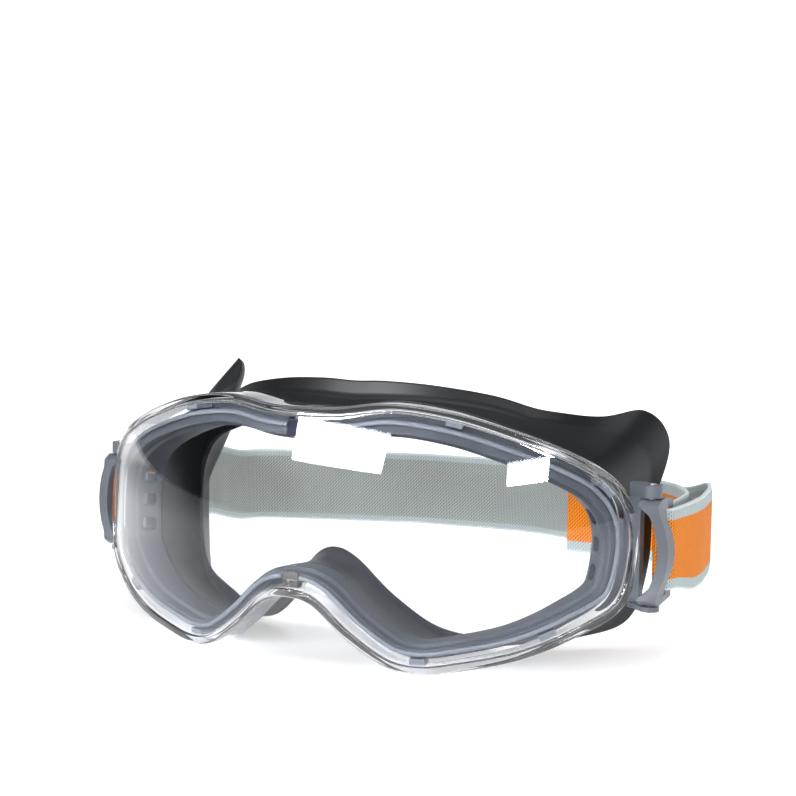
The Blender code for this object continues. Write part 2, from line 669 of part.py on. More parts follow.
def rear_bar():
    """Middle of a bracket's rear bar in plan, on +X, and the y where the slot ends."""
    axis_x, axis_y = hinge_axis()
    slot_back = axis_y + BAR_WIDTH - BAR_FRONT + SLOT_WIDTH
    y = slot_back + REAR_BAR_WIDTH / 2
    return np.array([axis_x + 0.6 + ARM_SPLAY * (y - axis_y), y]), slot_back


def loop_reach():
    """Distance from the rear bar's middle plane to the middle of a strap layer beside it."""
    return REAR_BAR_THICKNESS / 2 + GAP + STRAP_THICKNESS / 2


def splay():
    """Unit vector that runs back along a bracket, on +X."""
    return np.array([ARM_SPLAY, 1.0]) / math.hypot(ARM_SPLAY, 1.0)


def loop_end(outward):
    """Where a leg of the loop ends, on +X: outward +1 is the outer layer, -1 the inner one."""
    middle, _ = rear_bar()
    back = splay()
    across = np.array([back[1], -back[0]])
    return middle + back * (REAR_BAR_WIDTH / 2 + LOOP_LEG) + across * outward * loop_reach()


def make_strap_loops():
    """The strap's turn round each bracket's rear bar, through the slot."""
    middle, _ = rear_bar()
    back = splay()
    across = np.array([back[1], -back[0]])
    reach = loop_reach()
    front = middle - back * (REAR_BAR_WIDTH / 2 - REAR_BAR_THICKNESS / 4)
    turns = np.radians(np.linspace(0, 180, 13))
    bend = [front + across * reach * math.cos(t) - back * reach * math.sin(t) for t in turns]
    path = np.array([loop_end(1), *bend, loop_end(-1)])
    for word, side in (("left", 1), ("right", -1)):
        axis = (*(hinge_axis() * (side, 1)), BRACKET_HEIGHT)
        grid = mirrored(strap_section(path), side)
        bar_solid(f"strap_loop_{word}", grid, "webbing_orange", origin=axis)


def strap_path():
    """The strap's plan, wearer's left bracket round the back of the head to the right bracket."""
    start = loop_end(1) + splay() * SPLIT_GAP
    finish = start * (-1, 1)
    left = [start, start + (-0.2, 9), start + (-1.8, 22), start + (-8.5, 46), start + (-28, 73)]
    rear = [(30.0, REAR_REACH - 9), (-12.0, REAR_REACH), (-55.0, REAR_REACH - 10)]
    run = slider_run()
    right = [finish + run * k for k in (60.0, 48.0, 36.0, 24.0, 12.0)] + [finish]
    bend = [finish + run * 60.0 + (8.0, 20.0)]
    return np.array(left + rear + bend + right)


def slider_run():
    """Unit vector along the straight stretch of strap that the slider travels on, on -X."""
    run = np.array([-0.16, 1.0])
    return run / np.linalg.norm(run)


def make_strap():
    knots = strap_path()
    path = smooth(knots, np.linspace(0, len(knots) - 1, 5 * (len(knots) - 1) + 1))
    return bar_solid("strap", strap_section(path), "webbing_grey")


def make_tails():
    """The strap's two ends, inside the loop: a free one on the left, a doubled one on the right."""
    start = loop_end(-1) + splay() * SPLIT_GAP
    knots = np.array([start, start + (-0.6, 10), start + (-3.5, 24), start + (-15, 40),
                      start + (-35, 47), start + (-50, 49)])
    path = smooth(knots, np.linspace(0, len(knots) - 1, 26))
    bar_solid("strap_tail_left", strap_section(path), "webbing_orange")
    outer = loop_end(1) * (-1, 1)
    inner = loop_end(-1) * (-1, 1)
    run = slider_run()
    inside = np.array([run[1], -run[0]])
    step = STRAP_THICKNESS + LAYER_GAP
    beside = outer + inside * step
    knots = np.array([inner + splay() * (-1, 1) * SPLIT_GAP, (inner + beside) / 2 + run * 6, beside + run * 14,
                      beside + run * 26, beside + run * 38])
    path = smooth(knots, np.linspace(0, len(knots) - 1, 21))
    bar_solid("strap_tail_right", strap_section(path), "webbing_orange")


def slider_middle():
    outer = loop_end(1) * (-1, 1)
    run = slider_run()
    inside = np.array([run[1], -run[0]])
    return outer + run * 26 + inside * (STRAP_THICKNESS + LAYER_GAP) / 2


def make_slider():
    """A flat ring round the two layers of the strap on the right."""
    middle = slider_middle()
    run = slider_run()
    inside = np.array([run[1], -run[0]])
    hole_x = STRAP_THICKNESS + LAYER_GAP / 2 + 0.5
    hole_z = STRAP_WIDTH / 2 + 0.5
    stations = [(1, -1), (1, 0), (1, 1), (0, 1), (-1, 1), (-1, 0), (-1, -1), (0, -1)]
    rows = []
    for a, b in stations:
        row = []
        for grow, end in ((0, -1), (1, -1), (1, 1), (0, 1)):
            plan = middle + inside * a * (hole_x + grow * SLIDER_WALL) + run * end * SLIDER_LENGTH / 2
            row.append((*plan, STRAP_HEIGHT + b * (hole_z + grow * SLIDER_RIM)))
        rows.append(row)
    ring_solid("strap_slider", np.array(rows), "slate_plastic", origin=(*middle, STRAP_HEIGHT))


# ---------------------------------------------------------------- assembly

def stand_on_origin():
    """Parent every piece to one empty that brings the middle of the box's underside to the origin."""
    pieces = list(bpy.context.collection.objects)
    corners = np.concatenate([
        np.array([tuple(piece.location + v.co) for v in piece.data.vertices]) for piece in pieces])
    low, high = corners.min(0), corners.max(0)
    goggles = bpy.data.objects.new("goggles", None)
    goggles.location = (-(low[0] + high[0]) / 2, -(low[1] + high[1]) / 2, -low[2])
    bpy.context.collection.objects.link(goggles)
    for piece in pieces:
        piece.parent = goggles


def main():
    for obj in list(bpy.data.objects):
        bpy.data.objects.remove(obj)
    stations = even_stations()
    make_lens(stations)
    make_gasket(stations)
    make_frame_ring(stations)
    make_face_seal(stations)
    make_catches()
    make_clips()
    make_brackets()
    make_hinge_mounts()
    make_pins()
    make_strap_loops()
    make_strap()
    make_tails()
    make_slider()
    stand_on_origin()


main()
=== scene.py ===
"""Looks of a pair of wide-vision safety goggles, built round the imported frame.

Lengths inside the classes are millimetres in the design frame of the goggles: the wearer looks along -Y,
+X is the wearer's left, +Z is up, y = 0 is the foremost point of the lens's middle and z = 0 lies near the
strap.  Datum turns them into the frame's metres.
"""

from __future__ import annotations

import json
import logging
import math
from dataclasses import dataclass, field
from enum import Enum
from typing import Sequence

import bmesh
import bpy
import numpy as np
from mathutils import Matrix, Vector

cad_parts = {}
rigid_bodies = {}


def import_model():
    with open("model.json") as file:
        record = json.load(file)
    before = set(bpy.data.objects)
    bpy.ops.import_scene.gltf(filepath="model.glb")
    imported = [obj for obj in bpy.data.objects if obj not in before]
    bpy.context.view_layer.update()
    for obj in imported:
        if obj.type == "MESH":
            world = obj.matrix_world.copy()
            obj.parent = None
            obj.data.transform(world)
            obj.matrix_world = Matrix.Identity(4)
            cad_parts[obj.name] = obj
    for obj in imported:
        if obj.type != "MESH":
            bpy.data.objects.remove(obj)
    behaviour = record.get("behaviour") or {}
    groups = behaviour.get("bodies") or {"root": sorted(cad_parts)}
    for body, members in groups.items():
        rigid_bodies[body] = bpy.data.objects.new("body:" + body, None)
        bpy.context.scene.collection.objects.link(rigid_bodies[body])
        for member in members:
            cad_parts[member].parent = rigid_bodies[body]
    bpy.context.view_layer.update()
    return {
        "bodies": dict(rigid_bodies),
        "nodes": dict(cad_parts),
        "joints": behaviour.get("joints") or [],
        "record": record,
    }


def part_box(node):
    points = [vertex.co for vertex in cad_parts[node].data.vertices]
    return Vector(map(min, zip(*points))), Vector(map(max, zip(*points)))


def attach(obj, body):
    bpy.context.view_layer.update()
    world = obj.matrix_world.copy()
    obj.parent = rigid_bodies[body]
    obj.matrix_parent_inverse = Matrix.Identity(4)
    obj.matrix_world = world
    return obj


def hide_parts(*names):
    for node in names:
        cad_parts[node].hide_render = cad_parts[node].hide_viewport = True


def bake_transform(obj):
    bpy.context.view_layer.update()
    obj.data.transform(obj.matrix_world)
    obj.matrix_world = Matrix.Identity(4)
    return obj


LOG = logging.getLogger("goggles")
MM = 0.001
Array = np.ndarray


# ---------------------------------------------------------------- numbers and curves

def linear(hex_colour: str) -> tuple[float, float, float, float]:
    """Linear RGBA of an sRGB hex colour.

    Args:
        hex_colour: six hex digits, with or without a leading #.

    Returns:
        Red, green, blue and an alpha of 1.
    """
    digits = hex_colour.lstrip("#")
    values = [int(digits[i:i + 2], 16) / 255 for i in (0, 2, 4)]
    red, green, blue = [v / 12.92 if v <= 0.04045 else ((v + 0.055) / 1.055) ** 2.4 for v in values]
    return red, green, blue, 1.0


def ease(share: Array | float) -> Array:
    """0 up to 0, 1 from 1 on, and the smooth step 3s^2 - 2s^3 between."""
    share = np.clip(share, 0, 1)
    return share * share * (3 - 2 * share)


def unit(vectors: Array) -> Array:
    """The vectors, each divided by its length."""
    return vectors / np.linalg.norm(vectors, axis=-1, keepdims=True)


def catmull_rom(points: Array, at: Array, closed: bool = False) -> Array:
    """Catmull-Rom curve: each stretch is the cubic whose end slopes are half the chord of its neighbours.

    Args:
        points: knots, one row each.
        at: positions counted in knots.
        closed: whether the last knot runs on to the first.

    Returns:
        One point for each position.
    """
    knots = np.asarray(points, float)
    count = len(knots)
    at = np.asarray(at, float)
    k = np.floor(at).astype(int)
    if not closed:
        k = np.clip(k, 0, count - 2)
    t = (at - k)[:, None]

    def pick(i: Array) -> Array:
        """The knot numbers i, wrapped on a closed curve and held on an open one."""
        return knots[i % count] if closed else knots[np.clip(i, 0, count - 1)]

    a, b, c, d = pick(k - 1), pick(k), pick(k + 1), pick(k + 2)
    if not closed:
        a = np.where((k == 0)[:, None], 2 * b - c, a)
        d = np.where((k == count - 2)[:, None], 2 * c - b, d)
    return 0.5 * (2 * b + (c - a) * t + (2 * a - 5 * b + 4 * c - d) * t**2
                  + (3 * b - a - 3 * c + d) * t**3)


def round_corners(sections: Array, radii: Sequence[float], steps: int = 4) -> Array:
    """Rounds the corners of closed polygons, all stations at once.

    Each corner B between A and C becomes the parabola (1-t)^2 P + 2t(1-t) B + t^2 Q, where P and Q lie on
    the two sides at the corner's radius from B, or at 0.48 of a side that is too short for it.

    Args:
        sections: stations x corners x 3.
        radii: one radius for each corner; 0 keeps the corner.
        steps: stretches in each round.

    Returns:
        stations x corners*(steps + 1) x 3.
    """
    before, after = np.roll(sections, 1, 1) - sections, np.roll(sections, -1, 1) - sections
    radius = np.asarray(radii, float)[None, :, None]
    first, last = [
        sections + unit(side) * np.minimum(radius, 0.48 * np.linalg.norm(side, axis=-1, keepdims=True))
        for side in (before, after)]
    t = np.linspace(0, 1, steps + 1)[None, None, :, None]
    curve = (1 - t)**2 * first[:, :, None] + 2 * t * (1 - t) * sections[:, :, None] + t**2 * last[:, :, None]
    return curve.reshape(len(sections), -1, 3)


def grid_quads(rows: int, columns: int, close_rows: bool, close_columns: bool) -> Array:
    """Quads of a rows x columns grid of points numbered row by row.

    Args:
        rows: how many rows.
        columns: how many columns.
        close_rows: whether the last row joins the first.
        close_columns: whether the last column joins the first.

    Returns:
        Four point numbers for each quad.
    """
    r, c = np.meshgrid(np.arange(rows if close_rows else rows - 1),
                       np.arange(columns if close_columns else columns - 1), indexing="ij")
    r, c = r.ravel(), c.ravel()
    r2, c2 = (r + 1) % rows, (c + 1) % columns
    return np.stack([r * columns + c, r * columns + c2, r2 * columns + c2, r2 * columns + c], -1)


# ---------------------------------------------------------------- materials

def add_node(tree: bpy.types.NodeTree, kind: str, inputs: dict[str, object] | None = None,
             **settings: object) -> bpy.types.Node:
    """Adds a node with its settings and its links.

    Args:
        tree: the node tree.
        kind: the node's type name.
        inputs: for each input's name or number, a value, an output socket to link to it, or a node whose
            first output is linked to it.
        settings: the node's own properties.

    Returns:
        The node.
    """
    node = tree.nodes.new(kind)
    for name, value in settings.items():
        setattr(node, name, value)
    for name, value in (inputs or {}).items():
        if isinstance(value, bpy.types.Node):
            value = value.outputs[0]
        if isinstance(value, bpy.types.NodeSocket):
            tree.links.new(value, node.inputs[name])
        else:
            node.inputs[name].default_value = value
    return node


@dataclass(frozen=True)
class Finish:
    """What every finish has: a name, and a material made from it once."""

    name: str

    def material(self) -> bpy.types.Material:
        """The finish's material, made the first time it is asked for."""
        found = bpy.data.materials.get(self.name)
        if found is not None:
            return found
        made = bpy.data.materials.new(self.name)
        made.use_nodes = True
        tree = made.node_tree
        tree.nodes.clear()
        shader = add_node(tree, "ShaderNodeBsdfPrincipled")
        output = add_node(tree, "ShaderNodeOutputMaterial")
        tree.links.new(self.surface(tree, shader), output.inputs["Surface"])
        return made

    def surface(self, tree: bpy.types.NodeTree, shader: bpy.types.Node) -> bpy.types.NodeSocket:
        """Sets up the look of this finish.

        Args:
            tree: the material's node tree.
            shader: its Principled shader, still as it was made.

        Returns:
            The socket that the surface shows.
        """
        raise NotImplementedError


@dataclass(frozen=True)
class ClearPolycarbonate(Finish):
    """Injection-moulded, hard-coated polycarbonate: water clear, glossy, with bright and dark lines where
    its edges bend the light. Lamps reach what is behind it."""

    tint: str = "FBFCFE"
    ior: float = 1.585
    mirrored: str = "FFFFFF"       # what a coating leaves of the bare plastic's reflections
    passed: str = "F2F4F8"

    def surface(self, tree: bpy.types.NodeTree, shader: bpy.types.Node) -> bpy.types.NodeSocket:
        """Clear glass for sight, a pale tint for lamps."""
        shader.inputs["Base Color"].default_value = linear(self.tint)
        shader.inputs["Roughness"].default_value = 0.0
        shader.inputs["Specular Tint"].default_value = linear(self.mirrored)
        shader.inputs["IOR"].default_value = self.ior
        shader.inputs["Transmission Weight"].default_value = 1.0
        lamps = add_node(tree, "ShaderNodeBsdfTransparent", {"Color": linear(self.passed)})
        path = add_node(tree, "ShaderNodeLightPath")
        mix = add_node(tree, "ShaderNodeMixShader", {"Fac": path.outputs["Is Shadow Ray"]})
        tree.links.new(shader.outputs[0], mix.inputs[1])
        tree.links.new(lamps.outputs[0], mix.inputs[2])
        return mix.outputs[0]


@dataclass(frozen=True)
class MouldedPlastic(Finish):
    """Moulded ABS or nylon with a fine spark-eroded grain: satin, a touch cloudy, even in colour."""

    colour: str = "686D76"
    cloud: str = "5E636B"
    roughness: float = 0.38
    gloss: float = 0.4
    grain_mm: float = 0.35         # real grain is near 0.05 mm; drawn coarser so that it shows at all
    grain_height_mm: float = 0.012
    grain_strength: float = 0.6
    cloud_scale: float = 60.0
    cloud_detail: float = 3.0
    cloud_spread: float = 0.15     # how far from the noise's middle the colour is wholly one or the other
    smoother: float = 0.05         # how far the clouds take the roughness down, and up
    rougher: float = 0.06

    def surface(self, tree: bpy.types.NodeTree, shader: bpy.types.Node) -> bpy.types.NodeSocket:
        """Cloudy base colour, a little uneven gloss and a grain bump."""
        place = add_node(tree, "ShaderNodeTexCoord").outputs["Object"]
        cloud = add_node(tree, "ShaderNodeTexNoise", {"Vector": place, "Scale": self.cloud_scale,
                                                      "Detail": self.cloud_detail}).outputs["Fac"]
        share = add_node(tree, "ShaderNodeMapRange", {"Value": cloud, "From Min": 0.5 - self.cloud_spread,
                                                      "From Max": 0.5 + self.cloud_spread})
        colour = add_node(tree, "ShaderNodeMix", {"Factor": share, "A": linear(self.cloud),
                                                  "B": linear(self.colour)}, data_type="RGBA")
        tree.links.new(colour.outputs["Result"], shader.inputs["Base Color"])
        gloss = add_node(tree, "ShaderNodeMapRange", {"Value": cloud, "To Min": self.roughness - self.smoother,
                                                      "To Max": self.roughness + self.rougher})
        tree.links.new(gloss.outputs[0], shader.inputs["Roughness"])
        shader.inputs["Specular IOR Level"].default_value = self.gloss
        grain = add_node(tree, "ShaderNodeTexNoise",
                         {"Vector": place, "Scale": 1 / (self.grain_mm * MM), "Detail": 2.0})
        bump = add_node(tree, "ShaderNodeBump",
                        {"Height": grain.outputs["Fac"], "Strength": self.grain_strength,
                         "Distance": self.grain_height_mm * MM})
        tree.links.new(bump.outputs[0], shader.inputs["Normal"])
        return shader.outputs[0]


@dataclass(frozen=True)
class SealElastomer(MouldedPlastic):
    """Moulded thermoplastic rubber: near black, soft sheen, faint flow clouding and a matt skin."""

    colour: str = "1B1E22"
    cloud: str = "14171A"
    roughness: float = 0.40
    gloss: float = 0.32            # a matt skin throws back less than a polished one
    grain_mm: float = 0.5
    grain_height_mm: float = 0.02
    grain_strength: float = 0.12
    cloud_scale: float = 35.0
    cloud_detail: float = 4.0
    cloud_spread: float = 0.2
    smoother: float = 0.06
    rougher: float = 0.08


@dataclass(frozen=True)
class TurnedSteel(Finish):
    """Turned stainless pin: bright, with fine rings from the tool."""

    colour: str = "C9CACC"

    def surface(self, tree: bpy.types.NodeTree, shader: bpy.types.Node) -> bpy.types.NodeSocket:
        """Metal whose roughness is banded along its length."""
        place = add_node(tree, "ShaderNodeTexCoord").outputs["Object"]
        rings = add_node(tree, "ShaderNodeTexWave", {"Vector": place, "Scale": 900.0, "Distortion": 1.0},
                         bands_direction="Z")
        gloss = add_node(tree, "ShaderNodeMapRange",
                         {"Value": rings.outputs["Fac"], "To Min": 0.18, "To Max": 0.34})
        tree.links.new(gloss.outputs[0], shader.inputs["Roughness"])
        shader.inputs["Base Color"].default_value = linear(self.colour)
        shader.inputs["Metallic"].default_value = 1.0
        return shader.outputs[0]


@dataclass(frozen=True)
class Webbing(Finish):
    """Woven elastic webbing: covered rubber threads in a staggered weave, with a paler border and a
    bound edge. Its UV map runs in metres: u along the strap, v across it from its lower edge."""

    light: str = "BEC5C2"
    dark: str = "6F7A78"
    warm: str = "B2B0A8"
    border: str = "C0CBCB"
    border_dark: str = "8E9C9E"
    edge: str = "D6DFE0"
    width_mm: float = 25.0
    border_mm: float = 2.2
    edge_mm: float = 0.7
    pitch_mm: float = 0.95         # real threads are near 0.5 mm apart; drawn coarser so that they show
    rise_mm: float = 0.18
    rib_rate: float = 0.8          # ribs and threads to a pitch
    thread_rate: float = 1.6
    drift: float = 2.4             # how far the threads wander, in radians of their wave

    def surface(self, tree: bpy.types.NodeTree, shader: bpy.types.Node) -> bpy.types.NodeSocket:
        """Twill: a diagonal rib cos(u + v) and threads cos(u) across it, added; drives colour and bump."""
        place = add_node(tree, "ShaderNodeTexCoord").outputs["UV"]
        axes = add_node(tree, "ShaderNodeSeparateXYZ", {0: place})
        u, v = axes.outputs[0], axes.outputs[1]
        wobble = add_node(tree, "ShaderNodeTexNoise", {"Vector": place, "Scale": 700.0, "Detail": 2.0})
        slow = add_node(tree, "ShaderNodeTexNoise", {"Vector": place, "Scale": 45.0, "Detail": 3.0})
        swing = add_node(tree, "ShaderNodeMath", {0: wobble.outputs["Fac"], 1: 0.5}, operation="SUBTRACT")
        drift = add_node(tree, "ShaderNodeMath", {0: swing, 1: self.drift}, operation="MULTIPLY")
        slant = add_node(tree, "ShaderNodeMath", {0: u, 1: v}, operation="ADD")
        waves = []
        for along, rate in ((slant, self.rib_rate), (u, self.thread_rate)):
            phase = add_node(tree, "ShaderNodeMath", {0: along, 1: rate * 2 * math.pi / (self.pitch_mm * MM),
                                                      2: drift}, operation="MULTIPLY_ADD")
            waves.append(add_node(tree, "ShaderNodeMath", {0: phase}, operation="COSINE"))
        both = add_node(tree, "ShaderNodeMath", dict(enumerate(waves)), operation="ADD")
        weave = add_node(tree, "ShaderNodeMath", {0: both, 1: 0.25, 2: 0.5}, operation="MULTIPLY_ADD")
        half = self.width_mm * MM / 2
        aside = add_node(tree, "ShaderNodeMath", {0: v, 1: half}, operation="SUBTRACT")
        outward = add_node(tree, "ShaderNodeMath", {0: aside}, operation="ABSOLUTE")
        inward = add_node(tree, "ShaderNodeMath", {0: half, 1: outward}, operation="SUBTRACT")
        core, rim, in_core, off_edge = [
            add_node(tree, "ShaderNodeMapRange", {"Value": value, "From Min": low, "From Max": high},
                     interpolation_type="SMOOTHSTEP")
            for value, low, high in ((weave, 0.25, 0.7), (weave, 0.2, 0.6),
                                     (inward, (self.border_mm - 0.25) * MM, (self.border_mm + 0.25) * MM),
                                     (inward, (self.edge_mm - 0.3) * MM, (self.edge_mm + 0.1) * MM))]
        colours = {name: linear(getattr(self, name))
                   for name in ("light", "warm", "dark", "border", "border_dark", "edge")}
        mixes = (("body", slow.outputs["Fac"], "light", "warm"), ("core", core, "dark", "body"),
                 ("rim", rim, "border_dark", "border"), ("banded", in_core, "rim", "core"),
                 ("bound", off_edge, "edge", "banded"))
        for made, factor, first, second in mixes:
            mix = add_node(tree, "ShaderNodeMix", {"Factor": factor, "A": colours[first], "B": colours[second]},
                           data_type="RGBA")
            colours[made] = mix.outputs["Result"]
        tree.links.new(colours["bound"], shader.inputs["Base Color"])
        shader.inputs["Roughness"].default_value = 0.85
        shader.inputs["Specular IOR Level"].default_value = 0.25
        shader.inputs["Sheen Weight"].default_value = 0.08
        shader.inputs["Sheen Roughness"].default_value = 0.45
        bump = add_node(tree, "ShaderNodeBump",
                        {"Height": weave, "Strength": 0.7, "Distance": self.rise_mm * MM})
        tree.links.new(bump.outputs[0], shader.inputs["Normal"])
        return shader.outputs[0]


class Finishes(Enum):
    """Every finish of the goggles."""

    CLEAR = ClearPolycarbonate("clear_polycarbonate")
    COATED = ClearPolycarbonate("coated_polycarbonate", mirrored="AEB4BE")
    CATCH_BROW = ClearPolycarbonate("smoky_catch_moulding", tint="C6C2D2", passed="C8C4D4")
    CATCH_NOSE = ClearPolycarbonate("warm_catch_moulding", tint="E6DFD4", passed="E0D9CE")
    SLATE = MouldedPlastic("slate_moulding")
    # The brackets' slate painted darker for the ring: painted shade for where it sits behind the lens and
    # inside the seal.
    SLATE_PAINTED_SHADE = MouldedPlastic("slate_ring_painted_shade", colour="464A51", cloud="3D4147", roughness=0.46,
                               gloss=0.16)
    SEAL = SealElastomer("seal_elastomer")
    GASKET = SealElastomer("gasket_elastomer", colour="6D727A", cloud="5C6169", roughness=0.5)
    STEEL = TurnedSteel("turned_steel")
    GREY_WEB = Webbing("grey_webbing_face")
    ORANGE_WEB = Webbing("orange_webbing_face", light="FFA81C", dark="B84A04", warm="F28C10", border_mm=3.4)

    def material(self) -> bpy.types.Material:
        """This finish's material."""
        return self.value.material()


# ---------------------------------------------------------------- meshes

@dataclass(frozen=True)
class Datum:
    """Where the design frame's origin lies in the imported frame, in metres."""

    x: float
    y: float
    z: float

    @classmethod
    def from_frame(cls, joints: Sequence[dict], surface: LensSurface) -> Datum:
        """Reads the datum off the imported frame.

        Args:
            joints: the frame's joints; the two bracket hinges lie at equal distances left and right.
            surface: the lens's surface, whose foremost and lowest points are known in the design frame.

        Returns:
            The datum.
        """
        hinges = [joint["pos_m"][0] for joint in joints if joint["type"] == "hinge"]
        low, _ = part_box("lens")
        foremost = -surface.lean**2 / (4 * surface.crown)
        return cls(sum(hinges) / len(hinges), low.y - foremost * MM, low.z - surface.low * MM)

    def place(self, points: Array) -> Array:
        """Design millimetres to frame metres."""
        return np.asarray(points, float) * MM + (self.x, self.y, self.z)


def mesh_object(name: str, vertices: Array, faces: Sequence[Sequence[int]] | Array,
                finishes: Sequence[Finishes], uv: Array | None = None, slots: Array | None = None,
                merge: bool = False, sharp_degrees: float = 40.0) -> bpy.types.Object:
    """A finished piece from points in frame metres.

    Args:
        name: the piece's name.
        vertices: points, in metres.
        faces: corner numbers of each face.
        finishes: one for each material slot.
        uv: u and v at each point, in metres.
        slots: the material slot of each face.
        merge: whether points in one place are joined and faces turned out.
        sharp_degrees: edges sharper than this keep a crease in the shading.

    Returns:
        The object, at the origin.
    """
    mesh = bpy.data.meshes.new(name)
    mesh.from_pydata(np.asarray(vertices, float).tolist(), [], [tuple(map(int, f)) for f in faces])
    if uv is not None:
        layer = mesh.uv_layers.new(name="UVMap")
        corner = np.zeros(len(mesh.loops), np.int32)
        mesh.loops.foreach_get("vertex_index", corner)
        layer.data.foreach_set("uv", uv[corner].astype(np.float32).ravel())
    if slots is not None:
        mesh.polygons.foreach_set("material_index", np.asarray(slots, np.int32))
    bm = bmesh.new()
    bm.from_mesh(mesh)
    if merge:
        bmesh.ops.remove_doubles(bm, verts=bm.verts, dist=2e-7)
        bmesh.ops.dissolve_degenerate(bm, edges=bm.edges, dist=1e-7)
    bmesh.ops.recalc_face_normals(bm, faces=bm.faces)
    if bm.calc_volume(signed=True) < 0:
        bmesh.ops.reverse_faces(bm, faces=bm.faces)
    bm.to_mesh(mesh)
    bm.free()
    mesh.shade_smooth()
    mesh.set_sharp_from_angle(angle=math.radians(sharp_degrees))
    for finish in finishes:
        mesh.materials.append(finish.material())
    obj = bpy.data.objects.new(name, mesh)
    bpy.context.scene.collection.objects.link(obj)
    return obj


def cut(obj: bpy.types.Object, tools: Sequence[bpy.types.Object]) -> None:
    """Cuts the tools out of an object and removes them.

    Args:
        obj: the object, changed in place.
        tools: closed bodies.
    """
    for tool in tools:
        modifier = obj.modifiers.new("cut", "BOOLEAN")
        modifier.operation, modifier.solver, modifier.object = "DIFFERENCE", "EXACT", tool
    bpy.context.view_layer.update()
    result = bpy.data.meshes.new_from_object(obj.evaluated_get(bpy.context.evaluated_depsgraph_get()))
    obj.modifiers.clear()
    obj.data = result
    for tool in tools:
        bpy.data.objects.remove(tool)


def bevelled_copy(name: str, node: bpy.types.Object, finish: Finishes, width_mm: float,
                  segments: int = 3) -> bpy.types.Object:
    """A copy of a CAD node with moulded, rounded edges.

    Args:
        name: the copy's name.
        node: the CAD node.
        finish: its finish.
        width_mm: the edges' width.
        segments: faces across each edge.

    Returns:
        The copy, with a live Bevel modifier.
    """
    mesh = node.data.copy()
    mesh.name = name
    bm = bmesh.new()
    bm.from_mesh(mesh)
    bmesh.ops.remove_doubles(bm, verts=bm.verts, dist=2e-6)
    bmesh.ops.dissolve_limit(bm, angle_limit=math.radians(2), verts=bm.verts, edges=bm.edges)
    bm.to_mesh(mesh)
    bm.free()
    mesh.materials.clear()
    mesh.materials.append(finish.material())
    mesh.shade_smooth()
    mesh.set_sharp_from_angle(angle=math.radians(50))
    obj = bpy.data.objects.new(name, mesh)
    bpy.context.scene.collection.objects.link(obj)
    bevel = obj.modifiers.new("moulded_edges", "BEVEL")
    bevel.width, bevel.segments, bevel.limit_method = width_mm * MM, segments, "ANGLE"
    bevel.angle_limit = math.radians(28)
    return obj


# ---------------------------------------------------------------- the lens's surface

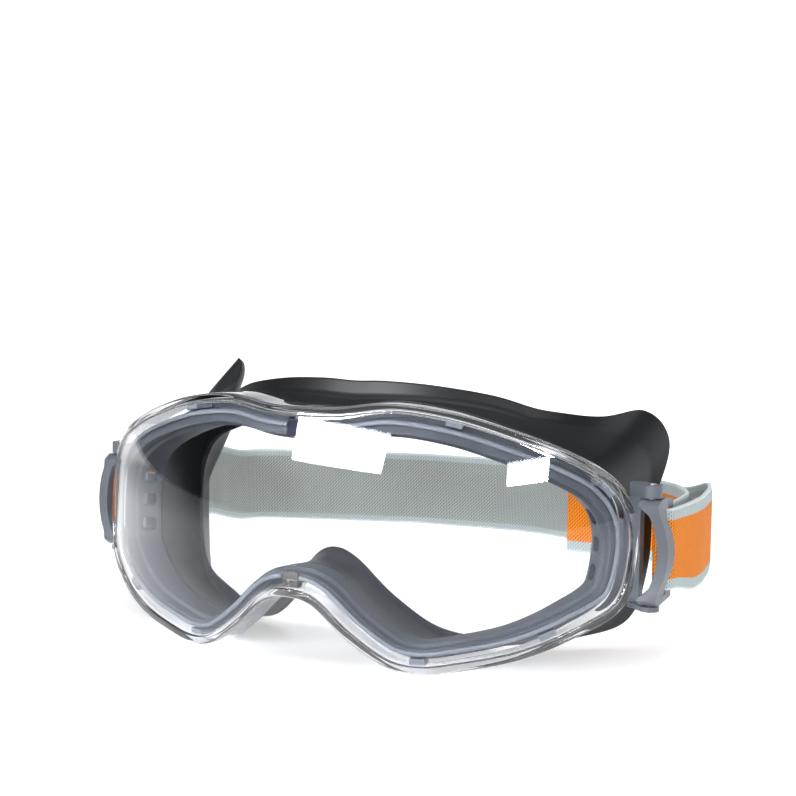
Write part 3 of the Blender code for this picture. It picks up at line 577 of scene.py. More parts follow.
@dataclass(frozen=True)
class LensSurface:
    """The lens's front surface and its outline.

    The surface is an upright wall on the plan curve y = depth (1 - (1 - (x/w)^p)^(1/p)).  At each height it
    leans and bulges by lean r + crown r^2, where r is the height above the crown line.  The outline lists
    shares of the half arc and of the height, brow to nose.
    """

    half_arc: float = 95.8
    height: float = 71.2
    low: float = -28.1
    plan_half_width: float = 99.0
    plan_depth: float = 68.0
    plan_power: float = 1.85
    lean: float = 0.052
    crown: float = 0.00356
    crown_line: float = 4.8
    outline: tuple[tuple[float, float], ...] = (
        (0.000, 0.972), (0.114, 0.976), (0.266, 1.000), (0.439, 0.976), (0.601, 0.921), (0.775, 0.841),
        (0.905, 0.751), (0.981, 0.625), (1.000, 0.465), (0.958, 0.270), (0.818, 0.157), (0.663, 0.073),
        (0.496, 0.022), (0.386, 0.000), (0.289, 0.021), (0.177, 0.117), (0.075, 0.233), (0.000, 0.256))
    plan: tuple[Array, ...] = field(init=False, repr=False, compare=False)

    def __post_init__(self) -> None:
        """Tables of arc length, x, y and heading along the plan curve."""
        w, p = self.plan_half_width, self.plan_power
        x = w * np.sin(np.linspace(0, math.radians(84), 3000))
        y = self.plan_depth * (1 - (1 - (x / w)**p)**(1 / p))
        length = np.concatenate([[0], np.cumsum(np.hypot(np.diff(x), np.diff(y)))])
        heading = np.arctan2(np.gradient(y, length), np.gradient(x, length))
        object.__setattr__(self, "plan", (length, x, y, heading))

    @property
    def knots(self) -> int:
        """Number of points round the closed outline."""
        return 2 * (len(self.outline) - 1)

    def closed_outline(self) -> Array:
        """The whole outline: +X side down from the brow to the nose, -X side back up."""
        half = np.array(self.outline)
        whole = np.concatenate([half, half[-2:0:-1] * (-1, 1)])
        return np.stack([whole[:, 0] * self.half_arc, self.low + whole[:, 1] * self.height], -1)

    def edge(self, stations: Array, inward: Array | float = 0.0) -> tuple[Array, Array]:
        """Outline points (along, height) moved inward, and the outward normals.

        Args:
            stations: positions round the outline, counted in its points.
            inward: one distance, or one for each station.

        Returns:
            Points and normals.
        """
        closed, step = self.closed_outline(), 0.05
        count = len(closed)
        point = catmull_rom(closed, stations % count, True)
        along = unit(catmull_rom(closed, (stations + step) % count, True)
                     - catmull_rom(closed, (stations - step) % count, True))
        inside = np.stack([along[:, 1], -along[:, 0]], -1)
        return point + inside * np.reshape(np.broadcast_to(inward, len(point)), (-1, 1)), -inside

    def at(self, along: Array, height: Array, depth: Array | float) -> Array:
        """Points at a distance along the surface, a height, and a depth behind the front."""
        length, x, y, heading = self.plan
        far = np.abs(along)
        side = np.where(np.asarray(along) < 0, -1.0, 1.0)
        turn = np.interp(far, length, heading)
        px = np.interp(far, length, x) - depth * np.sin(turn)
        py = np.interp(far, length, y) + depth * np.cos(turn)
        rise = height - self.crown_line
        py = py + self.lean * rise + self.crown * rise**2
        return np.stack(np.broadcast_arrays(side * px, py, height), -1)

    def band(self, stations: Array, section: Sequence[tuple[Array | float, Array | float]]) -> Array:
        """Stations x section points, for a section of (inward, depth) pairs."""
        columns = []
        for inward, depth in section:
            at, _ = self.edge(stations, inward)
            columns.append(self.at(at[:, 0], at[:, 1], depth))
        return np.stack(columns, 1)

    def even_stations(self, count: int) -> Array:
        """That many stations, evenly spaced along the outline."""
        fine = np.linspace(0, self.knots, 6001)
        run = catmull_rom(self.closed_outline(), fine[:-1], True)
        length = np.concatenate([[0], np.cumsum(np.linalg.norm(np.roll(run, -1, 0) - run, axis=1))])
        return np.interp(np.arange(count) / count * length[-1], length, fine)

    def paired_stations(self, columns: int) -> tuple[Array, Array]:
        """Stations of the upper and the lower edge at the same distances along, right temple to left."""
        half = self.knots // 4 + 0.5
        fine = np.linspace(-half - 1.5, half + 1.5, 8001)
        run = catmull_rom(self.closed_outline(), fine % self.knots, True)[:, 0]
        left, right = fine[np.argmax(run)], fine[np.argmin(run)]
        reach = run.max() * -np.cos(np.pi * np.arange(columns) / (columns - 1))
        top = (fine >= right) & (fine <= left)
        upper = np.interp(reach, run[top], fine[top])
        down = np.linspace(left, self.knots + right, 8001)
        below = catmull_rom(self.closed_outline(), down % self.knots, True)[:, 0]
        lower = np.interp(-reach, -below, down)
        return upper, lower


# ---------------------------------------------------------------- lens

@dataclass
class Lens:
    """One clear moulding: curved front with a raised bead round its edge, and a return wall behind it.

    Its two optical faces carry the coating; the bead and the wall are bare.
    """

    surface: LensSurface
    datum: Datum
    thickness: float = 2.0
    wall: float = 2.0
    wall_depth: float = 9.0
    bead_width: float = 2.5
    bead_rise: float = 0.6
    columns: int = 301
    rows: int = 31

    def section(self) -> list[tuple[float, float]]:
        """Closed path of (inward, depth) over the bead, down the return wall and back up inside it."""
        corners = [(self.bead_width + 0.9, 0.0, 0.3), (self.bead_width, 0.0, 0.2),
                   (self.bead_width - 0.2, -self.bead_rise, 0.25), (0.0, -self.bead_rise, 0.9),
                   (0.0, self.wall_depth, 0.5), (self.wall, self.wall_depth, 0.5),
                   (self.wall, self.thickness, 0.7), (self.bead_width + 0.9, self.thickness, 0.3)]
        flat = np.array([[(x, y, 0.0) for x, y, _ in corners]])
        rounded = round_corners(flat, [r for *_, r in corners], 6)[0]
        first, last = corners[0], corners[-1]
        inner = rounded[7:-7]
        return [(first[0], first[1]), *[(p[0], p[1]) for p in inner], (last[0], last[1])]

    def face_grid(self, upper: Array, lower: Array, depth: float) -> Array:
        """Columns of points from the upper edge to the lower one, on the surface at that depth."""
        inward = self.bead_width + 0.9
        top, _ = self.surface.edge(upper, inward)
        bottom, _ = self.surface.edge(lower, inward)
        share = np.linspace(0, 1, self.rows)[None, :, None]
        at = top[:, None] * (1 - share) + bottom[:, None] * share
        return self.surface.at(at[..., 0], at[..., 1], depth)

    def build(self) -> bpy.types.Object:
        """The lens, closed: front grid, rim section and back grid, joined along their shared edges."""
        upper, lower = self.surface.paired_stations(self.columns)
        stations = np.concatenate([upper, lower[-2:0:-1]])
        rim = self.surface.band(stations, self.section())
        grids = [self.face_grid(upper, lower, 0.0), self.face_grid(upper, lower, self.thickness)]
        points, faces, slots, base = [], [], [], 0
        for grid, slot in ((rim, 0), (grids[0], 1), (grids[1], 1)):
            faces.append(grid_quads(*grid.shape[:2], slot == 0, False) + base)
            points.append(grid.reshape(-1, 3))
            slots.append(np.full(len(faces[-1]), slot))
            base += points[-1].shape[0]
        return mesh_object("lens_shell", self.datum.place(np.concatenate(points)), np.concatenate(faces),
                           [Finishes.CLEAR, Finishes.COATED], slots=np.concatenate(slots), merge=True,
                           sharp_degrees=60)


# ---------------------------------------------------------------- carrier ring and gasket

@dataclass
class CarrierRing:
    """Slate ring behind the lens: a lip, a stepped inner wall, and vents through its temples."""

    surface: LensSurface
    datum: Datum
    lip_inward: float = 4.5
    lip_depth: float = 3.6
    shoulder: float = 8.2
    outer: float = 3.0
    inner: float = 7.5
    inner_level: float = 1.0
    depth: float = 14.0
    ledge: float = 1.0             # how far the inner wall steps in behind the lip
    ledge_depth: float = 6.4
    vents: int = 3
    vent_pitch: float = 7.4
    vent_height: float = 4.2
    vent_depth: float = 4.0
    stations: int = 560

    def build(self) -> bpy.types.Object:
        """The ring, rounded at every corner of its section, with its vents cut."""
        at = self.surface.even_stations(self.stations)
        _, outward = self.surface.edge(at)
        inner = self.inner + self.inner_level * outward[:, 1]
        section = [(self.lip_inward, self.lip_depth), (inner, self.lip_depth), (inner, self.ledge_depth),
                   (inner + self.ledge, self.ledge_depth + 0.6), (inner + 0.8, self.depth),
                   (self.outer, self.depth), (self.outer, self.shoulder), (self.lip_inward, self.shoulder)]
        radii = [0.4, 0.45, 0.15, 0.2, 0.4, 0.4, 0.4, 0.2]
        grid = round_corners(self.surface.band(at, section), radii, 3)
        # Its slate is painted darker than the brackets': painted shade, not a darker plastic.
        ring = mesh_object("carrier_ring", self.datum.place(grid.reshape(-1, 3)),
                           grid_quads(*grid.shape[:2], True, True), [Finishes.SLATE_PAINTED_SHADE], sharp_degrees=50)
        cut(ring, [self.vent_tool(side, place) for side in (-1, 1) for place in range(self.vents)])
        ring.data.shade_smooth()
        ring.data.set_sharp_from_angle(angle=math.radians(45))
        return ring

    def vent_tool(self, side: int, place: int) -> bpy.types.Object:
        """Rounded bar through the temple wall, for one vent."""
        middle = (self.surface.low + 0.48 * self.surface.height
                  + (place - (self.vents - 1) / 2) * self.vent_pitch)
        deep = self.depth - 1.6 - self.vent_depth / 2
        turn = np.linspace(0, 2 * math.pi, 24, endpoint=False)
        bend = [np.sign(wave) * np.abs(wave)**0.5 for wave in (np.cos(turn), np.sin(turn))]
        rows = []
        for along in np.linspace(self.surface.half_arc - 14, self.surface.half_arc + 1, 5):
            rows.append(self.surface.at(np.full(24, side * along), middle + bend[0] * self.vent_height / 2,
                                        deep + bend[1] * self.vent_depth / 2))
        grid = np.stack(rows)
        caps = [list(range(24)), list(range(4 * 24, 5 * 24))]
        faces = grid_quads(5, 24, False, True).tolist() + caps
        return mesh_object("vent_tool", self.datum.place(grid.reshape(-1, 3)), faces, [Finishes.SLATE_PAINTED_SHADE])


@dataclass
class Gasket:
    """Soft bead between the lens and the ring's lip."""

    surface: LensSurface
    datum: Datum
    near: float = 4.8
    width: float = 1.2
    front: float = 2.3
    thickness: float = 1.0

    def build(self) -> bpy.types.Object:
        """The bead: its section is a rounded rectangle."""
        at = self.surface.even_stations(400)
        far, back = self.near + self.width, self.front + self.thickness
        section = [(self.near, self.front), (far, self.front), (far, back), (self.near, back)]
        grid = round_corners(self.surface.band(at, section), [0.45] * 4, 3)
        return mesh_object("gasket_bead", self.datum.place(grid.reshape(-1, 3)),
                           grid_quads(*grid.shape[:2], True, True), [Finishes.GASKET], sharp_degrees=70)


@dataclass
class Catch:
    """Clear catch between the lens and the ring: a hook in the rim, and a tongue over the ring's lip."""

    surface: LensSurface
    datum: Datum
    name: str
    station: float
    width: float
    finish: Finishes
    reach: float
    near: float = 2.35
    hook: float = 4.2
    front: float = 2.35
    tongue: float = 0.9
    back: float = 7.8
    spare: float = 0.25

    def across(self, width: float) -> Array:
        """Stations over a width along the outline, two of them close together at each end."""
        step = 0.05
        ends, _ = self.surface.edge(self.station + np.array([-step, step]))
        half = step * width / np.linalg.norm(ends[1] - ends[0])
        return self.station + half * np.array([-1.0, -0.94, -0.6, -0.2, 0.2, 0.6, 0.94, 1.0])

    def loft(self, name: str, section: Array, width: float) -> bpy.types.Object:
        """The section carried across the width and closed at both ends, a little smaller at the very ends."""
        at = self.across(width)
        middle = section.mean(0)
        grid = self.surface.band(at, [tuple(point) for point in section])
        small = self.surface.band(at, [tuple(middle + (point - middle) * 0.93) for point in section])
        grid[[0, -1]] = small[[0, -1]]
        rows, columns = grid.shape[:2]
        caps = [list(range(columns)), list(range(rows * columns - columns, rows * columns))]
        faces = grid_quads(rows, columns, False, True).tolist() + caps
        return mesh_object(name, self.datum.place(grid.reshape(-1, 3)), faces, [self.finish],
                           sharp_degrees=50)

    def build(self) -> bpy.types.Object:
        """The catch: an L of constant thickness with rounded corners."""
        low = self.front + self.tongue
        corners = [(self.near, self.front), (self.reach, self.front), (self.reach, low), (self.hook, low),
                   (self.hook, self.back), (self.near, self.back)]
        flat = np.array([[(inward, depth, 0.0) for inward, depth in corners]])
        section = round_corners(flat, [0.3, 0.35, 0.35, 0.3, 0.3, 0.3], 3)[0][:, :2]
        return self.loft(f"{self.name}_moulding", section, self.width)

    def notch_tool(self) -> bpy.types.Object:
        """Block that clears the gasket for the tongue."""
        low, high = self.front - 1.0, self.front + self.tongue + 1.0
        section = np.array([(self.hook, low), (self.reach, low), (self.reach, high), (self.hook, high)])
        return self.loft("notch_tool", section, self.width + 2 * self.spare)


# ---------------------------------------------------------------- face seal

@dataclass
class FaceSeal:
    """Soft rubber skirt from the ring's back to a flange that follows the wearer's face."""

    surface: LensSurface
    datum: Datum
    ring_depth: float = 14.3
    root_out: float = 3.2
    root_in: float = 7.2
    wall: float = 2.0
    edge: float = 0.9
    stem: float = 0.62
    ear_stem: float = 0.36         # how much further out the skirt meets the flange at the right ear
    ear_bulge: float = 4.5         # how far the skirt swells outward below that ear
    ear_thick: float = 1.2         # and how much thicker that ear's rim is
    forehead: float = 36.0
    wrap: float = 41.0
    half_width: float = 78.0
    power: float = 2.2
    sweep: float = 16.0
    tuck: float = 6.0
    rise_right: float = 9.0
    rise_left: float = 0.5
    stations: int = 420
    flange_outer: tuple[tuple[float, float], ...] = (
        (0.00, 46.5), (0.13, 46.8), (0.31, 46.0), (0.51, 43.5), (0.67, 39.0), (0.78, 36.3),
        (0.89, 37.5), (0.96, 30.0), (0.97, 12.0), (0.96, -6.0), (0.91, -20.0), (0.78, -24.5),
        (0.62, -26.0), (0.48, -26.5), (0.35, -24.5), (0.22, -17.0), (0.10, -7.5), (0.00, -4.5))
    flange_inner: tuple[tuple[float, float], ...] = (
        (0.00, 31.0), (0.13, 31.5), (0.29, 32.0), (0.49, 31.0), (0.64, 28.0), (0.75, 24.0),
        (0.82, 18.0), (0.87, 11.0), (0.89, 3.0), (0.87, -8.0), (0.80, -16.0), (0.66, -21.0),
        (0.53, -23.5), (0.42, -23.5), (0.31, -20.5), (0.20, -13.0), (0.09, -3.0), (0.00, 0.0))
    ear_share: tuple[float, ...] = (0, 0, 0, 0, 0.1, 0.65, 1.0, 0.75, 0.1, 0, 0, 0, 0, 0, 0, 0, 0, 0)

    def face_depth(self, x: Array, z: Array) -> Array:
        """The face: brow + wrap |x|^power, less a bell for the nose that fades out above the eyes."""
        brow = self.forehead + self.wrap * (np.abs(x) / self.half_width)**self.power
        return brow - 13.0 * np.exp(-(x / 15.0)**2) / (1 + np.exp((z - 5.0) / 6.0))

    def flange(self, half: Sequence[tuple[float, float]], at: Array, rises: tuple[float, float],
               sweep: float, tuck: float) -> Array:
        """One edge of the flange.

        Args:
            half: share of the half width and height, brow to nose.
            at: stations round the outline.
            rises: how far the right and the left top corner are turned up.
            sweep: how far the upper temples run on backwards.
            tuck: how far the temples stand forward.

        Returns:
            One point for each station.
        """
        left = np.array(half) * (self.half_width, 1)
        right = left.copy()
        left[:, 1] += np.array(self.ear_share) * rises[1]
        right[:, 1] += np.array(self.ear_share) * rises[0]
        run = catmull_rom(np.concatenate([left, right[-2:0:-1] * (-1, 1)]), at, True)
        temple = ease((np.abs(run[:, 0]) / self.half_width - 0.60) / 0.27)
        high = ease((run[:, 1] - 8.0) / 22.0)
        depth = self.face_depth(run[:, 0], run[:, 1]) + temple * (high * sweep - tuck)
        return np.stack([run[:, 0], depth, run[:, 1]], -1)

    def build(self) -> bpy.types.Object:
        """Section at each station: skirt wall from the ring, easing out into a flange with a rolled edge."""
        at = self.surface.even_stations(self.stations)
        outer = self.flange(self.flange_outer, at, (self.rise_right, self.rise_left), self.sweep, 0.0)
        inner = self.flange(self.flange_inner, at, (0.0, 0.0), 0.0, self.tuck)
        out = self.surface.band(at, [(self.root_out, self.ring_depth)])[:, 0]
        inn = self.surface.band(at, [(self.root_in, self.ring_depth)])[:, 0]
        across = unit(outer - inner)
        root = (out + inn) / 2
        forward = root - (outer + inner) / 2
        forward = unit(forward - across * (forward * across).sum(1)[:, None])
        ear = np.concatenate([np.zeros(len(self.ear_share)), self.ear_share[-2:0:-1]])[:, None]
        raised = np.clip(catmull_rom(ear, at, True), 0, 1)
        join = self.stem + self.ear_stem * raised
        stem = inner + (outer - inner) * join + forward * self.wall
        waist = stem * 0.45 + root * 0.55 + across * raised * self.ear_bulge
        half = across * self.wall / 2
        lip = forward * (self.edge + raised * self.ear_thick)
        section = np.stack([out, out * 0.72 + (waist + half) * 0.28, waist + half, stem + half,
                            outer + lip, outer, (outer + inner) / 2 - forward * 0.25, inner,
                            inner + lip, stem - half, waist - half, inn * 0.72 + (waist - half) * 0.28, inn], 1)
        radii = [0.5, 2.0, 7.0, 1.6, 0.45, 0.45, 8.0, 0.45, 0.45, 3.0, 7.0, 2.0, 0.5]
        grid = round_corners(section, radii, 4)
        return mesh_object("seal_skirt", self.datum.place(grid.reshape(-1, 3)),
                           grid_quads(*grid.shape[:2], True, True), [Finishes.SEAL], sharp_degrees=75)


# ---------------------------------------------------------------- strap

class Side(Enum):
    """The wearer's side that a piece is on."""

    LEFT = 1
    RIGHT = -1

    @property
    def word(self) -> str:
        """left or right."""
        return self.name.lower()


@dataclass
class HeadStrap:
    """Elastic webbing, orange outside and grey inside.

    Each half is one ribbon: from the middle of the back, along the outside, round the bracket's rear bar
    and back along the inside to its cut end.
    """

    surface: LensSurface
    datum: Datum
    width: float = 25.0
    thickness: float = 1.6
    gathered: float = 22.0
    gather_length: float = 20.0
    bracket_height: float = 4.8
    height: float = 3.5
    sag: float = 5.0
    rear_reach: float = 160.0
    level_length: float = 44.0
    layer_gap: float = 0.5
    gap: float = 0.3
    split: float = 1.0
    leg: float = 6.0
    hinge_out: float = 1.4
    hinge_back: float = 5.3
    bar_front: float = 3.4
    bar_width: float = 4.9
    slot_width: float = 5.6
    rear_bar_width: float = 3.6
    rear_bar_thickness: float = 2.2
    arm_splay: float = 0.05
    seam: float = -12.0            # where across the head the two halves meet
    behind_head: float = 120.0     # how far back the strap is behind the head
    outer_samples: int = 900
    tail_samples: int = 120
    spacing: float = 0.8
    free_from: float = 100.0       # how far back it begins to hang free, and over what length
    free_over: float = 30.0
    still: float = 4.0             # length by the seam over which its waves begin
    wave: float = 0.9              # slow wave: height, length and start, and the length of its beat
    wave_length: float = 10.0
    wave_start: float = 0.4
    beat_length: float = 27.0
    ripple: float = 0.4
    ripple_length: float = 5.6
    lift: float = 0.25
    lift_length: float = 17.0

    def __post_init__(self) -> None:
        """The hinge axis and the rear bar in plan, on +X."""
        end = self.surface.at(np.float64(self.surface.half_arc), np.float64(self.bracket_height), 0.0)[:2]
        self.axis = end + (self.hinge_out, self.hinge_back)
        self.slot_back = self.axis[1] + self.bar_width - self.bar_front + self.slot_width
        y = self.slot_back + self.rear_bar_width / 2
        self.bar = np.array([self.axis[0] + 0.6 + self.arm_splay * (y - self.axis[1]), y])
        self.back = unit(np.array([self.arm_splay, 1.0]))
        self.out = np.array([self.back[1], -self.back[0]])
        self.reach = self.rear_bar_thickness / 2 + self.gap + self.thickness / 2
        self.run = unit(np.array([-0.16, 1.0]))

    def fan(self, y: Array) -> Array:
        """0 in the slot, 1 where the strap has fanned out behind it."""
        return ease((y - self.slot_back) / self.gather_length)

    def middle(self, y: Array) -> Array:
        """Height of the strap's middle."""
        level = self.loop_end(1)[1] + self.level_length
        back = np.clip((y - level) / (self.rear_reach - level), 0, 1)
        return (self.bracket_height + (self.height - self.bracket_height) * self.fan(y)
                - self.sag * ease(2 * back))

    def loop_end(self, outward: int) -> Array:
        """Where a leg of the loop ends: outward +1 is the outer layer, -1 the inner one."""
        return self.bar + self.back * (self.rear_bar_width / 2 + self.leg) + self.out * outward * self.reach

    def loop(self) -> Array:
        """The turn round the rear bar, outer leg to inner leg, on +X."""
        front = self.bar - self.back * (self.rear_bar_width / 2 - self.rear_bar_thickness / 4)
        turns = np.radians(np.linspace(0, 180, 15))
        bend = [front + self.out * self.reach * math.cos(t) - self.back * self.reach * math.sin(t)
                for t in turns]
        return np.array([self.loop_end(1), *bend, self.loop_end(-1)])

    def outer_run(self) -> Array:
        """Knots of the outside run, left bracket round the back to the right one."""
        start = self.loop_end(1) + self.back * self.split
        finish = start * (-1, 1)
        left = [start, start + (-0.2, 9), start + (-1.8, 22), start + (-8.5, 46), start + (-28, 73)]
        rear = [(30.0, self.rear_reach - 9), (-12.0, self.rear_reach), (-55.0, self.rear_reach - 10)]
        bend = [finish + self.run * 60.0 + (8.0, 20.0)]
        right = [finish + self.run * k for k in (60.0, 48.0, 36.0, 24.0, 12.0)] + [finish]
        return np.array(left + rear + bend + right)

    def tail(self, side: Side) -> Array:
        """Knots of the inside run, from the loop to the cut end, on +X for the left and -X for the right."""
        if side is Side.LEFT:
            start = self.loop_end(-1) + self.back * self.split
            return np.array([start, start + (-0.6, 10), start + (-3.5, 24), start + (-15, 40),
                             start + (-35, 47), start + (-50, 49)])
        outer, inner = self.loop_end(1) * (-1, 1), self.loop_end(-1) * (-1, 1)
        inside = np.array([self.run[1], -self.run[0]])
        beside = outer + inside * (self.thickness + self.layer_gap)
        return np.array([inner + self.back * (-1, 1) * self.split, (inner + beside) / 2 + self.run * 6,
                         beside + self.run * 14, beside + self.run * 26, beside + self.run * 38])

    def route(self, side: Side) -> Array:
        """Plan of one half's middle line, from the seam to the cut end, in even steps."""
        knots = self.outer_run()
        fine = catmull_rom(knots, np.linspace(0, len(knots) - 1, self.outer_samples))
        halfway = np.argmin(np.where(fine[:, 1] > self.behind_head, np.abs(fine[:, 0] - self.seam), np.inf))
        outside = fine[halfway::-1] if side is Side.LEFT else fine[halfway:]
        knots = self.tail(side)
        inside = catmull_rom(knots, np.linspace(0, len(knots) - 1, self.tail_samples))
        whole = np.concatenate([outside, self.loop() * (side.value, 1), inside])
        length = np.concatenate([[0], np.cumsum(np.linalg.norm(np.diff(whole, axis=0), axis=1))])
        even = np.arange(0, length[-1], self.spacing)
        return np.stack([np.interp(even, length, whole[:, k]) for k in (0, 1)], -1)

    def build(self, side: Side) -> tuple[bpy.types.Object, float]:
        """One half of the strap.

        The ribbon's section is a rounded rectangle on edge; its middle line swings sideways by a few slow
        sines where it hangs free, as slack elastic does.

        Args:
            side: the wearer's side.

        Returns:
            The ribbon and its length in millimetres.
        """
        path = self.route(side)
        run = np.concatenate([[0], np.cumsum(np.linalg.norm(np.diff(path, axis=0), axis=1))])
        along = unit(np.gradient(path, axis=0))
        across = np.stack([-along[:, 1], along[:, 0]], -1)
        free = ease((path[:, 1] - self.free_from) / self.free_over)
        slow = self.wave * np.sin(run / self.wave_length + self.wave_start) * np.sin(run / self.beat_length)
        wave = free * (slow + self.ripple * np.sin(run / self.ripple_length))
        wave *= np.where(run < self.still, run / self.still, 1.0)
        path = path + across * wave[:, None]
        lift = self.middle(path[:, 1]) + self.lift * free * np.sin(run / self.lift_length)
        tall = self.gathered + (self.width - self.gathered) * self.fan(path[:, 1])
        share = np.linspace(-1, 1, 17)
        rows, uvs, outside = [], [], []
        profile = [(s, 1) for s in share] + [(s, -1) for s in share[::-1]]
        half = self.thickness / 2
        for s, face in profile:
            shift = side.value * face * half * (1 - 0.45 * abs(s)**14)
            rows.append(np.column_stack([path + across * shift, lift + s * tall / 2]))
            uvs.append(np.column_stack([run, np.full(len(run), (s + 1) / 2 * self.width)]))
            outside.append(face > 0)
        grid, uv = np.stack(rows, 1), np.stack(uvs, 1) * MM
        quads = grid_quads(len(path), len(profile), False, True)
        column = np.tile(np.arange(len(profile)), len(path) - 1)
        slots = np.where(np.array(outside)[column] & (column < len(share) - 1), 0, 1)
        last, first = len(path) * len(profile) - 1, (len(path) - 1) * len(profile) - 1
        caps = [list(range(len(profile))), list(range(last, first, -1))]
        ribbon = mesh_object(f"strap_half_{side.word}", self.datum.place(grid.reshape(-1, 3)),
                             quads.tolist() + caps, [Finishes.ORANGE_WEB, Finishes.GREY_WEB],
                             uv=uv.reshape(-1, 2), slots=np.concatenate([slots, [1, 1]]), sharp_degrees=60)
        return ribbon, float(run[-1])


# ---------------------------------------------------------------- studio

@dataclass
class Studio:
    """Floor, soft lights, surroundings and the camera."""

    datum: Datum
    camera_place: tuple[float, float, float] = (233.5, -381.0, 81.2)
    camera_azimuth: float = 27.8
    camera_pitch: float = 4.735
    camera_roll: float = 1.006
    focal_length: float = 76.3
    sensor: float = 36.0
    glow_near: float = 0.45        # a floor lit from below, as on a light table
    glow_behind: float = 0.9
    glow_far: float = 0.12
    glow_fades: tuple[float, float] = (0.35, 0.75)      # metres from the goggles
    glow_rises: tuple[float, float] = (0.1, 0.5)        # metres behind them
    fill: float = 0.09             # what comes from every direction
    aim: tuple[float, float, float] = (12.0, 5.0, 30.0)

    def place_camera(self) -> None:
        """Camera nearly half a metre off, in front and to the wearer's left, a little above the lens."""
        angles = self.camera_azimuth, self.camera_pitch, self.camera_roll
        az, pitch, roll = [math.radians(angle) for angle in angles]
        ahead = np.array([-math.sin(az) * math.cos(pitch), math.cos(az) * math.cos(pitch), -math.sin(pitch)])
        right = np.array([math.cos(az), math.sin(az), 0.0])
        up = np.cross(right, ahead)
        level = math.cos(roll) * right + math.sin(roll) * up
        tall = math.cos(roll) * up - math.sin(roll) * right
        lens = bpy.data.cameras.new("camera")
        lens.sensor_width, lens.lens, lens.clip_start = self.sensor, self.focal_length, 0.01
        camera = bpy.data.objects.new("camera", lens)
        turn = Matrix(np.column_stack([level, tall, -ahead]).tolist()).to_4x4()
        camera.matrix_world = Matrix.Translation(self.datum.place(self.camera_place).tolist()) @ turn
        bpy.context.scene.collection.objects.link(camera)
        bpy.context.scene.camera = camera

    def add_light(self, name: str, azimuth: float, elevation: float, distance: float,
                  size: tuple[float, float], watts: float, glint_only: bool = False) -> None:
        """A soft rectangular light that faces the goggles.

        Args:
            name: its name.
            azimuth: degrees from straight ahead of the goggles, towards the wearer's left.
            elevation: degrees above the level.
            distance: metres from the lens.
            size: width and height in metres.
            watts: its power.
            glint_only: whether it shows in gloss but lights no matt surface.
        """
        az, el = math.radians(azimuth), math.radians(elevation)
        away = np.array([math.sin(az) * math.cos(el), -math.cos(az) * math.cos(el), math.sin(el)])
        light = bpy.data.lights.new(name, "AREA")
        light.shape, light.size, light.size_y, light.energy = "RECTANGLE", size[0], size[1], watts
        lamp = bpy.data.objects.new(name, light)
        right = unit(np.cross([0.0, 0.0, 1.0], away))
        turn = Matrix(np.column_stack([right, np.cross(away, right), away]).tolist()).to_4x4()
        aim = self.datum.place(self.aim)
        lamp.matrix_world = Matrix.Translation((aim + away * distance).tolist()) @ turn
        lamp.visible_diffuse = not glint_only
        bpy.context.scene.collection.objects.link(lamp)

    def build(self) -> None:
        """Camera, floor, lights and surroundings."""
        self.place_camera()
        bpy.ops.mesh.primitive_plane_add(size=60.0, location=(0, 0, 0))
        floor = bpy.context.object
        floor.name = "floor"
        paper = bpy.data.materials.new("studio_paper")
        paper.use_nodes = True
        shader = paper.node_tree.nodes["Principled BSDF"]
        shader.inputs["Base Color"].default_value = linear("F4F4F4")
        shader.inputs["Roughness"].default_value = 0.95
        shader.inputs["Specular IOR Level"].default_value = 0.0
        shader.inputs["Emission Color"].default_value = linear("FFFFFF")
        self.glow(paper.node_tree, shader)
        floor.data.materials.append(paper)
        self.add_light("strip_softbox", -18.5, 18.3, 1.0, (0.54, 0.17), 4.6)
        self.add_light("strip_glint", -18.5, 18.3, 0.99, (0.54, 0.17), 11.0, glint_only=True)
        self.add_light("side_softbox", 39.5, 12.5, 1.1, (0.24, 0.10), 1.0)
        self.add_light("side_fill", 78.0, 20.0, 1.1, (0.7, 0.5), 3.2)
        self.add_light("side_glint", 39.5, 12.5, 1.09, (0.24, 0.10), 2.6, glint_only=True)
        self.add_light("overhead", 20.0, 82.0, 1.3, (1.2, 1.2), 5.0)
        self.surroundings()
        bpy.context.scene.view_settings.view_transform = "Standard"

    def glow(self, tree: bpy.types.NodeTree, shader: bpy.types.Node) -> None:
        """Light under the floor: soft near the goggles, strong behind, weak far to the sides and in front."""
        place = add_node(tree, "ShaderNodeTexCoord").outputs["Object"]
        away = add_node(tree, "ShaderNodeVectorMath", {0: place}, operation="LENGTH").outputs["Value"]
        axes = add_node(tree, "ShaderNodeSeparateXYZ", {0: place})
        near, behind = [
            add_node(tree, "ShaderNodeMapRange",
                     {"Value": value, "From Min": start, "From Max": end, "To Min": low, "To Max": high},
                     interpolation_type="SMOOTHSTEP")
            for value, (start, end), low, high in ((away, self.glow_fades, self.glow_near, self.glow_far),
                                                   (axes.outputs["Y"], self.glow_rises, 0.0, self.glow_behind))]
        strength = add_node(tree, "ShaderNodeMath", {0: near, 1: behind}, operation="MAXIMUM")
        tree.links.new(strength.outputs[0], shader.inputs["Emission Strength"])

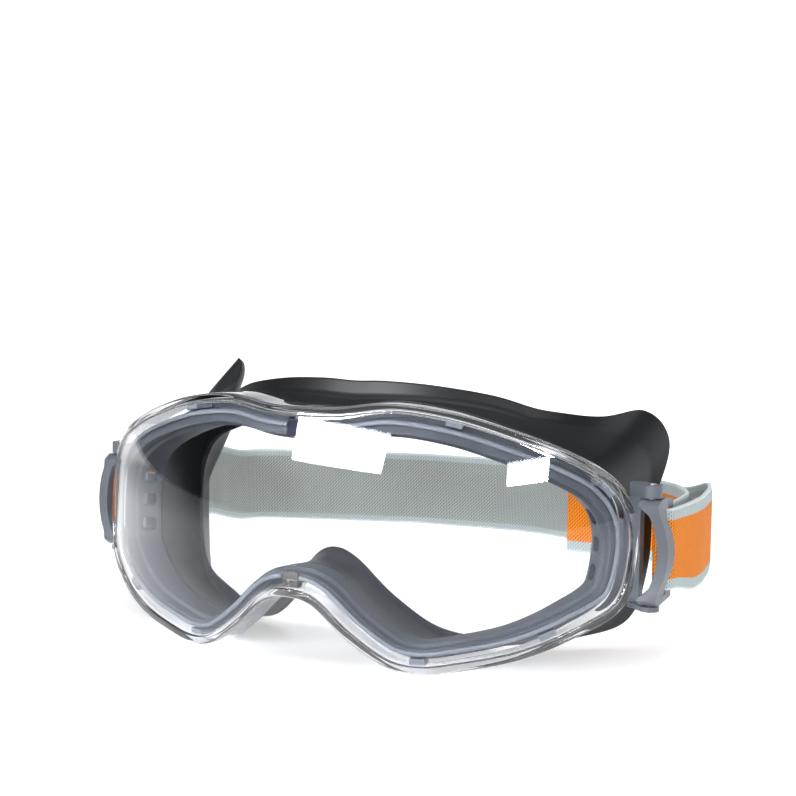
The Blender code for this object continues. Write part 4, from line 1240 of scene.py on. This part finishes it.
    def surroundings(self) -> None:
        """White low down behind the goggles, a dark belt above that, a lit ceiling, and dark in front.

        The dark belt lies above what the camera sees; the clear edges bend it into their thin dark lines.
        """
        world = bpy.data.worlds.new("studio")
        world.use_nodes = True
        tree = world.node_tree
        tree.nodes.clear()
        way = add_node(tree, "ShaderNodeSeparateXYZ",
                       {0: add_node(tree, "ShaderNodeTexCoord").outputs["Generated"]})
        low, rear, above = [
            add_node(tree, "ShaderNodeMapRange",
                     {"Value": way.outputs[axis], "From Min": start, "From Max": end, "To Min": first,
                      "To Max": last}, interpolation_type="SMOOTHSTEP")
            for axis, start, end, first, last in (("Z", 0.30, 0.40, 1.0, 0.0), ("Y", 0.05, 0.5, 0.0, 1.0),
                                                  ("Z", 0.70, 0.85, 0.0, 0.9))]
        behind = add_node(tree, "ShaderNodeMath", {0: rear, 1: low}, operation="MULTIPLY")
        level = add_node(tree, "ShaderNodeMath", {0: above, 1: behind}, operation="MAXIMUM")
        strength = add_node(tree, "ShaderNodeMath", {0: level, 1: self.fill}, operation="ADD")
        shade = add_node(tree, "ShaderNodeBackground", {"Color": linear("FCFDFF"), "Strength": strength})
        output = add_node(tree, "ShaderNodeOutputWorld")
        tree.links.new(shade.outputs[0], output.inputs["Surface"])
        bpy.context.scene.world = world


# ---------------------------------------------------------------- assembly

@dataclass
class Goggles:
    """The whole pair: builds each sub-assembly and hangs the front and the fittings on their bodies."""

    frame: dict
    surface: LensSurface
    datum: Datum

    def attach(self, piece: bpy.types.Object, body: str, slot: str, *nodes: str) -> None:
        """Rides a piece on a body in place of CAD nodes, and reports it.

        Args:
            piece: the new piece.
            body: the body that it moves with.
            slot: the record's material slot; not used.
            nodes: the CAD nodes that it stands for.
        """
        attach(piece, body)
        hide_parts(*nodes)
        LOG.info("%s stands for %s: %d faces", piece.name, ", ".join(nodes), len(piece.data.polygons))

    def build_front(self) -> None:
        """Lens, gasket, ring and seal."""
        self.attach(Lens(self.surface, self.datum).build(), "frame", "clear_lens", "lens")
        gasket = Gasket(self.surface, self.datum).build()
        catches = [Catch(self.surface, self.datum, "brow_catch", 0.0, 9.5, Finishes.CATCH_BROW, 8.6),
                   Catch(self.surface, self.datum, "nose_catch", self.surface.knots / 2, 4.4,
                         Finishes.CATCH_NOSE, 6.9)]
        cut(gasket, [catch.notch_tool() for catch in catches])
        self.attach(gasket, "frame", "gasket_foam", "lens_gasket")
        for catch in catches:
            self.attach(catch.build(), "frame", "clear_catch", catch.name)
        self.attach(CarrierRing(self.surface, self.datum).build(), "frame", "slate_frame", "frame_ring")
        self.attach(FaceSeal(self.surface, self.datum).build(), "frame", "black_seal", "face_seal")

    def build_fittings(self) -> None:
        """Clips, mounts, brackets, pins and slider."""
        nodes = self.frame["nodes"]
        members = self.frame["record"]["behaviour"]["bodies"]
        bodies = {name: body for body, names in members.items() for name in names}
        for name in sorted(nodes):
            if name.startswith("lens_clip"):
                finish, width, slot = Finishes.SLATE, 0.3, "slate_frame"
            elif name.startswith(("hinge_mount", "strap_bracket", "strap_slider")):
                finish, width, slot = Finishes.SLATE, 0.4, "slate_frame"
            elif name.startswith("hinge_pin"):
                finish, width, slot = Finishes.STEEL, 0.2, "pin_steel"
            else:
                continue
            piece = bevelled_copy(f"{name}_moulding" if finish is not Finishes.STEEL else f"{name}_turned",
                                  nodes[name], finish, width)
            self.attach(piece, bodies[name], slot, name)

    def build_strap(self) -> None:
        """Both halves of the strap, each built in place as one ribbon."""
        strap = HeadStrap(self.surface, self.datum)
        for side, start, nodes in ((Side.LEFT, 96.0, ("strap", "strap_loop_left", "strap_tail_left")),
                                   (Side.RIGHT, 75.0, ("strap_loop_right", "strap_tail_right"))):
            ribbon, length = strap.build(side)
            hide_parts(*nodes)
            ends = [self.datum.place((0.0, y, 0.0)).tolist() for y in (start, 60.0)]
            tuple(ends[0])
            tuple(ends[1])
            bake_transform(ribbon)
            LOG.info("%s: %.0f mm of webbing", ribbon.name, length)


def main() -> None:
    """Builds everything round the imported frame."""
    logging.basicConfig(level=logging.INFO, format="%(name)s %(message)s")
    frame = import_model()
    surface = LensSurface()
    datum = Datum.from_frame(frame["joints"], surface)
    Studio(datum).build()
    goggles = Goggles(frame, surface, datum)
    goggles.build_front()
    goggles.build_fittings()
    goggles.build_strap()


if __name__ == "__main__":
    main()
